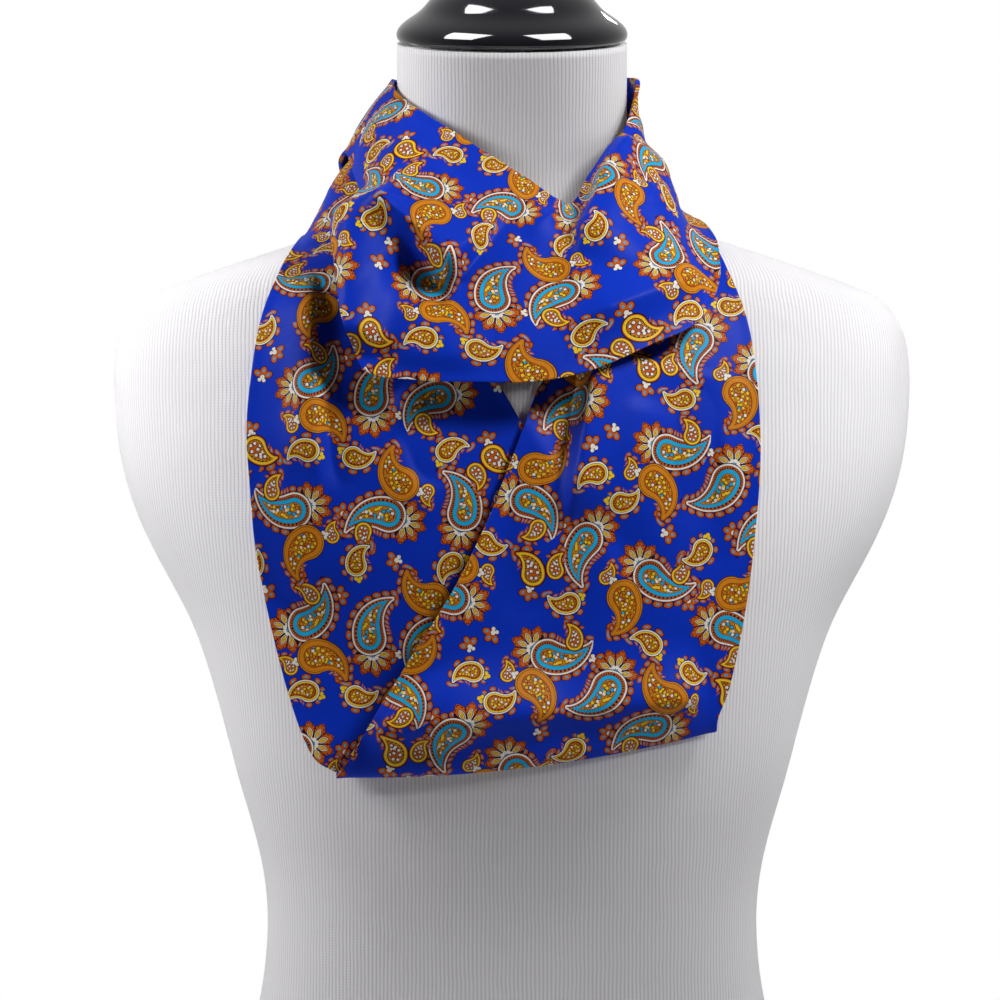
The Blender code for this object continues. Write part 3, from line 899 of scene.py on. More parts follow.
@dataclass
class TorsoForm:
    """The limbless torso of the dress form, rounded off and laid out for its jersey cover."""

    form: FormShape
    node: str = "form_torso"
    merge: float = 0.00005
    rounding: int = 2
    end_height: float = 1.0
    piece: bpy.types.Object = field(init=False)

    def build(self) -> None:
        """Makes the torso from a copy of the part's own solid."""
        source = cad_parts[self.node]
        self.piece = bpy.data.objects.new("torso_cover", source.data.copy())
        bpy.context.scene.collection.objects.link(self.piece)
        select_only(self.piece)
        bpy.ops.object.mode_set(mode="EDIT")
        bpy.ops.mesh.select_all(action="SELECT")
        bpy.ops.mesh.remove_doubles(threshold=self.merge)
        bpy.ops.mesh.tris_convert_to_quads(face_threshold=math.pi, shape_threshold=math.pi)
        bpy.ops.mesh.select_all(action="DESELECT")
        bpy.ops.object.mode_set(mode="OBJECT")
        self.keep_ends_crisp()
        smooth = self.piece.modifiers.new("rounding", "SUBSURF")
        smooth.levels = smooth.render_levels = self.rounding
        apply_modifiers(self.piece)
        self.piece.data.shade_smooth()
        self.lay_out_jersey()
        LOG.info("torso: %d faces", len(self.piece.data.polygons))

    def points(self) -> Array:
        """The torso's points as the tables count them."""
        return np.array([vertex.co for vertex in self.piece.data.vertices]) / MM - [0, DEPTH_SHIFT, 0]

    def keep_ends_crisp(self) -> None:
        """Creases the rims of the flat foot and of the neck's flat top."""
        mesh = self.piece.data
        crease = mesh.attributes.new("crease_edge", "FLOAT", "EDGE")
        height, _, _ = self.form.level(self.points())
        ends = (height < self.end_height) | (height > self.form.neck_top - self.end_height)
        for edge in mesh.edges:
            crease.data[edge.index].value = float(all(ends[i] for i in edge.vertices))

    def lay_out_jersey(self) -> None:
        """Lays the ribs upright, measured round the form from the middle of its front and back panel."""
        mesh = self.piece.data
        points = self.points()
        flat = np.stack([self.form.girth_from_middle(points), points[:, 2]], axis=1) * MM
        layer = mesh.uv_layers.new(name="jersey").uv
        layer.foreach_set("vector", flat[corner_vertices(mesh)].ravel())

    def dress(self, jersey: "RibJersey") -> None:
        """Gives the torso its cover, hangs it on the root body and hides the part's node that it stands for.

        Args:
            jersey: The cover's finish.
        """
        self.piece.data.materials.clear()
        self.piece.data.materials.append(jersey.material())
        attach(self.piece, "root")
        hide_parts(self.node)


@dataclass(frozen=True)
class CapRow:
    """One level of the turned cap: its radius, and its height above the neck's top."""

    radius: float
    height: float


@dataclass
class NeckCap:
    """The turned cap on the neck, square to the neck's leaning top."""

    form: FormShape
    rows: tuple[CapRow, ...] = (
        CapRow(62.0, 0.0),
        CapRow(65.0, 1.2),
        CapRow(66.4, 4.0),
        CapRow(65.8, 8.0),
        CapRow(61.0, 12.6),
        CapRow(54.5, 16.5),
        CapRow(50.0, 20.5),
        CapRow(47.0, 25.0),
        CapRow(40.0, 31.0),
        CapRow(33.0, 36.0),
        CapRow(29.5, 42.0),
        CapRow(30.5, 48.0),
        CapRow(33.0, 53.0),
        CapRow(32.5, 58.0),
        CapRow(27.0, 63.0),
        CapRow(15.0, 66.0),
    )
    node: str = "neck_cap"
    sides: int = 96
    rounding: int = 1
    top_inset: float = 0.6
    depth_share: float = 0.93
    gap: float = 0.3
    piece: bpy.types.Object = field(init=False)

    def build(self) -> None:
        """Turns the cap: a disc drawn up level by level, rounded, flattened a little and tilted."""
        first = self.rows[0]
        bpy.ops.object.select_all(action="DESELECT")
        bpy.ops.mesh.primitive_circle_add(
            vertices=self.sides, radius=first.radius * MM, fill_type="NGON", location=(0, 0, 0)
        )
        self.piece = bpy.context.active_object
        self.piece.name = self.piece.data.name = "lacquered_cap"
        bpy.ops.object.mode_set(mode="EDIT")
        bpy.ops.mesh.select_all(action="SELECT")
        for below, row in zip(self.rows, self.rows[1:]):
            lift = (0, 0, (row.height - below.height) * MM)
            bpy.ops.mesh.extrude_region_move(TRANSFORM_OT_translate={"value": lift})
            share = row.radius / below.radius
            bpy.ops.transform.resize(value=(share, share, 1), center_override=(0, 0, row.height * MM))
        bpy.ops.mesh.inset(thickness=self.rows[-1].radius * MM * self.top_inset)
        bpy.ops.mesh.select_all(action="SELECT")
        bpy.ops.mesh.normals_make_consistent(inside=False)
        bpy.ops.object.mode_set(mode="OBJECT")
        smooth = self.piece.modifiers.new("rounding", "SUBSURF")
        smooth.levels = smooth.render_levels = self.rounding
        apply_modifiers(self.piece)
        self.piece.data.shade_smooth()
        self.seat()
        LOG.info("cap: %d faces", len(self.piece.data.polygons))

    def seat(self) -> None:
        """Tilts the cap square to the neck's top and puts its place into its mesh."""
        tilt = math.atan(self.form.neck_lean)
        top = self.form.rows[-1]
        middle = (top.front + top.back) / 2 + DEPTH_SHIFT
        self.piece.scale = (1, self.depth_share, 1)
        self.piece.rotation_euler = (tilt, 0, 0)
        up = Vector((0, -math.sin(tilt), math.cos(tilt))) * self.gap
        self.piece.location = (Vector((0, middle, top.height)) + up) * MM
        select_only(self.piece)
        bpy.ops.object.transform_apply(location=True, rotation=True, scale=True)

    def dress(self, lacquer: "BlackLacquer") -> None:
        """Gives the cap its lacquer, hangs it on the root body and hides the part's node that it stands for.

        Args:
            lacquer: The cap's finish.
        """
        self.piece.data.materials.clear()
        self.piece.data.materials.append(lacquer.material())
        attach(self.piece, "root")
        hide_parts(self.node)


def linear(red: int, green: int, blue: int) -> Colour:
    """Turns a colour as a screen shows it into the light that it stands for.

    Args:
        red: Its red, from 0 to 255.
        green: Its green.
        blue: Its blue.

    Returns:
        The three shares of light.
    """
    shares = (value / 255 for value in (red, green, blue))
    return tuple(s / 12.92 if s <= 0.04045 else ((s + 0.055) / 1.055) ** 2.4 for s in shares)


class Signal:
    """A number, place or colour that changes over a surface: a shader node's output, with arithmetic."""

    def __init__(self, graph: "Graph", socket: bpy.types.NodeSocket) -> None:
        """Remembers the output and the tree that it is in.

        Args:
            graph: The tree.
            socket: The node's output.
        """
        self.graph = graph
        self.socket = socket

    def __add__(self, other: "Operand") -> "Signal":
        """The sum."""
        return self.graph.math("ADD", self, other)

    def __radd__(self, other: "Operand") -> "Signal":
        """The sum."""
        return self.graph.math("ADD", other, self)

    def __sub__(self, other: "Operand") -> "Signal":
        """The difference."""
        return self.graph.math("SUBTRACT", self, other)

    def __rsub__(self, other: "Operand") -> "Signal":
        """The difference."""
        return self.graph.math("SUBTRACT", other, self)

    def __mul__(self, other: "Operand") -> "Signal":
        """The product."""
        return self.graph.math("MULTIPLY", self, other)

    def __truediv__(self, other: "Operand") -> "Signal":
        """The quotient."""
        return self.graph.math("DIVIDE", self, other)

    def __lt__(self, other: "Operand") -> "Signal":
        """1 where this is less, and 0 elsewhere."""
        return self.graph.math("LESS_THAN", self, other)

    def __gt__(self, other: "Operand") -> "Signal":
        """1 where this is greater, and 0 elsewhere."""
        return self.graph.math("GREATER_THAN", self, other)

    def __abs__(self) -> "Signal":
        """The size without its sign."""
        return self.graph.math("ABSOLUTE", self)


Operand = Signal | float


class Graph:
    """Writes a shader's or a group's node tree, a formula at a time."""

    def __init__(self, tree: bpy.types.NodeTree) -> None:
        """Remembers the tree.

        Args:
            tree: The tree to write.
        """
        self.tree = tree

    def node(self, kind: str, **settings: object) -> bpy.types.Node:
        """Adds a node.

        Args:
            kind: Blender's name of the node.
            settings: The node's own options.

        Returns:
            The node.
        """
        made = self.tree.nodes.new(kind)
        for name, value in settings.items():
            setattr(made, name, value)
        return made

    def feed(self, socket: bpy.types.NodeSocket, value: "Operand | tuple") -> None:
        """Links a signal to an input, or sets the input to a plain value.

        Args:
            socket: The input.
            value: What goes in.
        """
        if isinstance(value, Signal):
            self.tree.links.new(value.socket, socket)
        elif isinstance(value, tuple) and socket.type == "RGBA":
            socket.default_value = (*value, 1)
        else:
            socket.default_value = value

    def math(self, operation: str, *values: "Operand", clamp: bool = False) -> Signal:
        """Adds a sum, product or function of numbers.

        Args:
            operation: What is worked out.
            values: The numbers that it takes.
            clamp: Whether the result is kept from 0 to 1.

        Returns:
            The result.
        """
        made = self.node("ShaderNodeMath", operation=operation, use_clamp=clamp)
        for socket, value in zip(made.inputs, values):
            self.feed(socket, value)
        return Signal(self, made.outputs[0])

    def vector(self, operation: str, *values: "Signal | tuple") -> Signal:
        """Adds a sum, product or function of places.

        Args:
            operation: What is worked out.
            values: The places that it takes.

        Returns:
            The result, a number where the operation measures.
        """
        made = self.node("ShaderNodeVectorMath", operation=operation)
        for socket, value in zip(made.inputs, values):
            self.feed(socket, value)
        return Signal(self, made.outputs["Value" if operation == "LENGTH" else "Vector"])

    def hypotenuse(self, one: Signal, other: Signal) -> Signal:
        """The length of the long side over two short ones."""
        return self.math("SQRT", self.math("MULTIPLY_ADD", one, one, other * other))

    def coordinates(self, kind: str) -> Signal:
        """The place on a piece, or in the world, as one kind of coordinates has it."""
        return Signal(self, self.node("ShaderNodeTexCoord").outputs[kind])

    def parts(self, place: Signal) -> tuple[Signal, Signal]:
        """Takes a place apart.

        Args:
            place: The place.

        Returns:
            Its x and its y.
        """
        made = self.node("ShaderNodeSeparateXYZ")
        self.feed(made.inputs[0], place)
        return Signal(self, made.outputs[0]), Signal(self, made.outputs[1])

    def place(self, x: "Operand", y: "Operand") -> Signal:
        """Makes a place.

        Args:
            x: Its x.
            y: Its y.

        Returns:
            The place.
        """
        made = self.node("ShaderNodeCombineXYZ")
        self.feed(made.inputs[0], x)
        self.feed(made.inputs[1], y)
        return Signal(self, made.outputs[0])

    def choose(
        self, kind: str, share: "Operand", first: "Signal | tuple", second: "Signal | tuple"
    ) -> Signal:
        """Mixes two values of one kind.

        Args:
            kind: FLOAT, VECTOR or RGBA.
            share: 0 for the first, 1 for the second.
            first: The first value.
            second: The second value.

        Returns:
            The mixed value.
        """
        made = self.node("ShaderNodeMix", data_type=kind)
        pairs = {"FLOAT": (2, 3, 0), "VECTOR": (4, 5, 1), "RGBA": (6, 7, 2)}
        low, high, out = pairs[kind]
        self.feed(made.inputs[0], share)
        self.feed(made.inputs[low], first)
        self.feed(made.inputs[high], second)
        return Signal(self, made.outputs[out])

    def over(self, canvas: "Signal | Ink", mask: Signal, colour: "Signal | Ink") -> Signal:
        """Prints a colour over what is there.

        Args:
            canvas: What is there.
            mask: 1 where the colour goes.
            colour: The colour.

        Returns:
            The new canvas.
        """
        below, ink = (c.value if isinstance(c, Ink) else c for c in (canvas, colour))
        return self.choose("RGBA", mask, below, ink)

    def bands(self, value: Signal, reach: float, stops: "Stops") -> Signal:
        """Turns a number into flat bands of colour.

        Args:
            value: The number.
            reach: The number at the end of the last band.
            stops: Where each band starts, and its ink.

        Returns:
            The colour.
        """
        made = self.node("ShaderNodeValToRGB")
        made.color_ramp.interpolation = "CONSTANT"
        marks = made.color_ramp.elements
        while len(marks) < len(stops):
            marks.new(1.0)
        for mark, (start, ink) in zip(marks, stops):
            mark.position = start / reach
            mark.color = (*ink.value, 1)
        self.feed(made.inputs[0], value * (1 / reach))
        return Signal(self, made.outputs[0])

    def cells(self, place: Signal, pitch: float, loose: float) -> tuple[Signal, Signal]:
        """Scatters dots.

        Args:
            place: Where to look.
            pitch: The distance from dot to dot.
            loose: 0 for dots in rows, 1 for scattered ones.

        Returns:
            The distance from the nearest dot, as a share of the pitch, and a number of each dot's own.
        """
        made = self.node("ShaderNodeTexVoronoi", voronoi_dimensions="2D", feature="F1")
        made.inputs["Scale"].default_value = 1 / pitch
        made.inputs["Randomness"].default_value = loose
        self.feed(made.inputs["Vector"], place)
        split = self.node("ShaderNodeSeparateColor")
        self.feed(split.inputs[0], Signal(self, made.outputs["Color"]))
        return Signal(self, made.outputs["Distance"]), Signal(self, split.outputs[0])

    def noise(self, place: Signal, scale: float, detail: float = 2.0) -> Signal:
        """Adds soft noise.

        Args:
            place: Where to look.
            scale: How fine it is.
            detail: How many finer layers it has.

        Returns:
            A number round 0.5.
        """
        made = self.node("ShaderNodeTexNoise")
        made.inputs["Scale"].default_value = scale
        made.inputs["Detail"].default_value = detail
        self.feed(made.inputs["Vector"], place)
        return Signal(self, made.outputs[0])

    def group(self, tree: bpy.types.NodeTree, **values: "Operand") -> dict[str, Signal]:
        """Places a node group.

        Args:
            tree: The group.
            values: What goes into its inputs, by their names in small letters.

        Returns:
            Its outputs by their names.
        """
        made = self.node("ShaderNodeGroup", node_tree=tree)
        for name, value in values.items():
            self.feed(made.inputs[name.capitalize()], value)
        return {socket.name: Signal(self, socket) for socket in made.outputs}


class Ink(Enum):
    """The colours that the scarf is printed in."""

    ROYAL = linear(2, 52, 192)
    TURQUOISE = linear(28, 172, 222)
    CREAM = linear(238, 232, 222)
    RUST = linear(200, 92, 20)
    OCHRE = linear(212, 132, 24)
    YELLOW = linear(242, 200, 44)
    MAROON = linear(42, 12, 24)


Stops = tuple[tuple[float, Ink], ...]


class Motif(Enum):
    """The figures of the print."""

    CREST = "crest"
    GOLD = "gold"
    BUD = "bud"
    LEAFLET = "leaflet"
    SPRIG = "sprig"


@dataclass(frozen=True)
class Spot:
    """Where a figure stands, its turn in degrees, 1 or -1 for its hand, and its scale."""

    motif: Motif
    x: float
    y: float
    turn: float
    hand: int = 1
    scale: float = 1.0

    def carry(self, member: "Spot") -> "Spot":
        """Places a figure that belongs to this one.

        Args:
            member: The figure, as placed in this one's frame.

        Returns:
            The figure as placed in the repeat.
        """
        turn = math.radians(self.turn)
        across, up = member.x, member.y * self.hand
        return Spot(
            member.motif,
            self.x + across * math.cos(turn) - up * math.sin(turn),
            self.y + across * math.sin(turn) + up * math.cos(turn),
            self.turn + self.hand * member.turn,
            self.hand * member.hand,
            member.scale,
        )


BOUQUET = (
    Spot(Motif.CREST, 0, 0, 0),
    Spot(Motif.GOLD, -1, -17.2, -4, -1),
    Spot(Motif.LEAFLET, -14.5, -18.5, 80, 1, 0.85),
    Spot(Motif.LEAFLET, 9.5, 12.4, 95, 1, 1.05),
    Spot(Motif.SPRIG, 22.5, 8.0, -10),
    Spot(Motif.SPRIG, 8.5, -28.5, -60),
)
TWINS = (
    Spot(Motif.LEAFLET, 0, 0, 0, 1, 1.45),
    Spot(Motif.LEAFLET, 2.5, -11.5, 20, -1, 1.05),
    Spot(Motif.SPRIG, -8.5, 1.5, 170),
)
GROUPS = (
    (Spot(Motif.CREST, 27, 27, 188), BOUQUET),
    (Spot(Motif.CREST, 84, 30, 20), BOUQUET),
    (Spot(Motif.CREST, 3, 87, 160), BOUQUET),
    (Spot(Motif.CREST, 80, 88, 200, -1), BOUQUET),
    (Spot(Motif.LEAFLET, 56, 118, 300), TWINS),
)
SINGLES = (
    Spot(Motif.CREST, 118, 24, 100, -1),
    Spot(Motif.CREST, 42, 88, 75),
    Spot(Motif.BUD, 54, 56, 20),
    Spot(Motif.BUD, 36, 63, 200),
    Spot(Motif.BUD, 112, 61, 100, -1),
    Spot(Motif.BUD, 110, 116, 330),
    Spot(Motif.BUD, 86, 118, 160),
    Spot(Motif.BUD, 32, 120, 60, -1),
    Spot(Motif.SPRIG, 57, 33, 80),
    Spot(Motif.SPRIG, 7, 64, 200),
    Spot(Motif.SPRIG, 63, 46, 330),
)


@dataclass(frozen=True)
class Boteh:
    """The teardrop of a paisley: a round head and a tail that bends over towards +Y."""

    radius: float
    length: float
    bend: float

    @staticmethod
    def tree() -> bpy.types.NodeTree:
        """Builds the group that measures a teardrop, once.

        Returns:
            The group.
        """
        found = bpy.data.node_groups.get("boteh")
        if found:
            return found
        tree = bpy.data.node_groups.new("boteh", "ShaderNodeTree")
        tree.interface.new_socket(name="Point", in_out="INPUT", socket_type="NodeSocketVector")
        for name in ("Radius", "Length", "Bend"):
            tree.interface.new_socket(name=name, in_out="INPUT", socket_type="NodeSocketFloat")
        for name in ("Level", "Along", "Share"):
            tree.interface.new_socket(name=name, in_out="OUTPUT", socket_type="NodeSocketFloat")
        tree.interface.new_socket(name="Place", in_out="OUTPUT", socket_type="NodeSocketVector")
        taper_power, tail_share = 1.15, 0.13
        g = Graph(tree)
        given = {s.name: Signal(g, s) for s in tree.nodes.new("NodeGroupInput").outputs if s.name}
        radius, length, bend = given["Radius"], given["Length"], given["Bend"]
        x, y = g.parts(given["Point"])
        inward = bend - y
        around = g.math("ARCTAN2", x, inward) * bend
        off = bend - g.hypotenuse(x, inward)
        ahead = x > 0.0
        run = g.choose("FLOAT", ahead, x, around)
        side = g.choose("FLOAT", ahead, y, off)
        t = g.math("DIVIDE", run, length, clamp=True)
        taper = g.math("POWER", g.math("COSINE", t * (math.pi / 2)), taper_power)
        share = g.math("MULTIPLY_ADD", taper, 1 - tail_share, tail_share)
        distance = g.hypotenuse(run - t * length, side)
        level = g.math("MULTIPLY_ADD", share, radius, distance * -1.0)
        head = g.math("ARCTAN2", g.math("MAXIMUM", run * -1.0, 0.0), abs(side))
        along = g.math("MAXIMUM", run, 0.0) - head * radius
        out = tree.nodes.new("NodeGroupOutput")
        place = g.place(run, side)
        for name, value in (("Level", level), ("Along", along), ("Share", share), ("Place", place)):
            g.feed(out.inputs[name], value)
        return tree

    def on(self, g: Graph, point: Signal) -> dict[str, Signal]:
        """Measures this teardrop.

        Args:
            g: The tree to write in.
            point: The place, in the teardrop's own millimetres.

        Returns:
            Level, the depth inside its outline; Along, the way along it; Share, how wide it still is there;
            Place, how far along and beside its bent axis.
        """
        return g.group(self.tree(), point=point, radius=self.radius, length=self.length, bend=self.bend)


@dataclass(frozen=True)
class Rings:
    """Rings along an outline: how far outside it, how far apart, from where on, and their radius."""

    off: float
    pitch: float
    start: float
    radius: float


@dataclass(frozen=True)
class Stitches:
    """Small dark dots along an outline: how deep inside it, how far apart, their radius, how flat."""

    depth: float
    pitch: float
    radius: float
    flatness: float = 1.0


@dataclass(frozen=True)
class Florets:
    """The florets in a heart: from how deep inside, how far apart, and the inks of their middles."""

    depth: float
    pitch: float
    inks: tuple[Ink, ...]


@dataclass(frozen=True)
class Figure:
    """A kind of paisley: its teardrop, what is printed in and round it, and how the nearest is found.

    Its length counts for less than its width by a squeeze, from its middle on. Its bands of colour start at
    depths up to a reach, and become narrower towards the tail by a share.
    """

    motif: Motif
    shape: Boteh
    squeeze: float
    middle: tuple[float, float]
    rings: Rings
    reach: float
    bands: Stops
    narrowing: float = 0.0
    florets: Florets | None = None
    stitches: Stitches | None = None

    def depth(self, g: Graph, shape: dict[str, Signal], border: float = 0.0) -> Signal:
        """Measures how deep a place is inside the figure's border, counted as at its head.

        Args:
            g: The tree to write in.
            shape: What the figure's teardrop measures.
            border: The border's width.

        Returns:
            The depth.
        """
        width = g.math("MULTIPLY_ADD", shape["Share"], self.narrowing, 1 - self.narrowing)
        return (shape["Level"] - border) / width


CREST = Figure(
    Motif.CREST,
    Boteh(8.9, 26.0, 18.0),
    squeeze=0.6,
    middle=(0.0, 3.0),
    rings=Rings(1.75, 3.7, -12.0, 1.9),
    reach=10.0,
    bands=(
        (0.0, Ink.MAROON),
        (0.25, Ink.RUST),
        (1.65, Ink.MAROON),
        (1.85, Ink.TURQUOISE),
        (3.9, Ink.MAROON),
        (4.15, Ink.OCHRE),
        (4.5, Ink.MAROON),
    ),
    narrowing=0.6,
    florets=Florets(
        4.6, 2.2, (Ink.CREAM, Ink.YELLOW, Ink.OCHRE, Ink.CREAM, Ink.TURQUOISE, Ink.RUST, Ink.YELLOW)
    ),
    stitches=Stitches(1.15, 1.6, 0.42, 0.7),
)
GOLD = Figure(
    Motif.GOLD,
    Boteh(8.7, 22.0, 12.5),
    squeeze=0.7,
    middle=(1.0, 2.0),
    rings=Rings(1.5, 3.3, 14.0, 1.65),
    reach=10.0,
    bands=(
        (0.0, Ink.OCHRE),
        (0.7, Ink.MAROON),
        (0.9, Ink.OCHRE),
        (3.2, Ink.MAROON),
        (3.45, Ink.RUST),
        (3.9, Ink.MAROON),
    ),
    narrowing=0.5,
    florets=Florets(4.0, 2.0, (Ink.CREAM, Ink.YELLOW, Ink.OCHRE, Ink.YELLOW, Ink.TURQUOISE, Ink.RUST)),
)
BUD = Figure(
    Motif.BUD,
    Boteh(5.6, 13.0, 8.5),
    squeeze=0.8,
    middle=(1.0, 1.0),
    rings=Rings(1.45, 4.2, -6.5, 1.6),
    reach=6.0,
    bands=(
        (0.0, Ink.CREAM),
        (0.7, Ink.MAROON),
        (0.9, Ink.YELLOW),
        (1.7, Ink.MAROON),
        (1.95, Ink.RUST),
        (2.9, Ink.MAROON),
    ),
    florets=Florets(3.0, 1.7, (Ink.CREAM, Ink.YELLOW, Ink.YELLOW, Ink.OCHRE)),
    stitches=Stitches(2.3, 1.3, 0.34),
)
LEAFLET = Figure(
    Motif.LEAFLET,
    Boteh(4.3, 10.0, 7.0),
    squeeze=0.8,
    middle=(1.0, 1.0),
    rings=Rings(1.25, 3.1, 5.0, 1.5),
    reach=6.0,
    bands=(
        (0.0, Ink.RUST),
        (0.3, Ink.YELLOW),
        (1.2, Ink.MAROON),
        (1.45, Ink.OCHRE),
        (2.2, Ink.RUST),
    ),
    stitches=Stitches(1.6, 1.1, 0.26),
)


@dataclass(frozen=True)
class Petals:
    """Petals round a middle: the angle between two, in radians, and how many stand beside the first."""

    pitch: float
    beside: float

    def turn(self, g: Graph, angle: Signal) -> Signal:
        """Measures an angle from the middle of the nearest petal.

        Args:
            g: The tree to write in.
            angle: The angle from the first petal's middle.

        Returns:
            The angle from the nearest one's.
        """
        petal = g.math("ROUND", angle * (1 / self.pitch))
        petal = g.math("MINIMUM", g.math("MAXIMUM", petal, -self.beside), self.beside)
        return angle - petal * self.pitch


@dataclass(frozen=True)
class Fan:
    """The fan of pointed petals at a large paisley's head, in millimetres.

    Each petal has a scalloped edge, a row of dots inside it, a leaf along its middle and a dot at its foot.
    """

    petals: Petals = Petals(math.radians(40), 2.0)
    sunk: float = 0.5
    start: float = 0.6
    reach: float = 12.0
    swell: float = 11.06
    fullness: float = 0.7
    scallop: float = 0.45
    scallop_pitch: float = 1.7
    seam: float = 0.24
    stitches: Stitches = Stitches(0.75, 1.7, 0.4)
    leaf_start: float = 2.8
    leaf_length: float = 6.2
    leaf_width: float = 1.7
    leaf_fullness: float = 0.8
    leaf_reach: float = 3.0
    leaf_bands: Stops = (
        (0.0, Ink.MAROON),
        (0.3, Ink.CREAM),
        (0.66, Ink.MAROON),
        (0.95, Ink.YELLOW),
        (1.5, Ink.RUST),
    )
    dot_at: float = 2.6
    dot: float = 1.0
    heart: float = 1.5

    def width(self, g: Graph, out: Signal) -> Signal:
        """Measures how wide a petal is.

        Args:
            g: The tree to write in.
            out: The way out along the petal.

        Returns:
            Half its width there.
        """
        part = g.math("DIVIDE", out, self.reach, clamp=True)
        scallop = abs(g.math("SINE", out * (math.pi / self.scallop_pitch))) * self.scallop
        return g.math("POWER", part, self.fullness) * (1 - part) * self.swell + scallop


@dataclass(frozen=True)
class Sprig:
    """A sprig: rings as petals, and a cream heart with a pair of leaves behind it, in millimetres."""

    petals: Petals = Petals(math.radians(60), 1.0)
    petal_at: float = 3.4
    flatness: float = 0.75
    petal: float = 2.0
    leaf_behind: float = 1.6
    leaf_aside: float = 1.2
    leaf: float = 1.0
    heart: float = 1.25
    outline: float = 0.3


@dataclass(frozen=True)
class Trefoil:
    """The trefoil at the head of a paisley: how far off, its lobes' places and radius, its outline."""

    off: float = 1.0
    aside: float = 1.2
    tip: float = 1.4
    lobe: float = 1.05
    outline: float = 0.3


@dataclass(frozen=True)
class PaisleyPrint:
    """A tossed print of paisleys on a plain ground, which repeats in rows and columns, in millimetres."""

    width: float = 126.0
    height: float = 122.0
    grown: float = 1.08
    outline: float = 0.45
    crest_border: float = 0.9
    fan: Fan = Fan()
    sprig: Sprig = Sprig()
    trefoil: Trefoil = Trefoil()

    def spots(self, motif: Motif) -> list[Spot]:
        """The figures of one kind in a repeat: those of the groups, and then the single ones."""
        grouped = (leader.carry(member) for leader, members in GROUPS for member in members)
        return [spot for spot in (*grouped, *SINGLES) if spot.motif is motif]


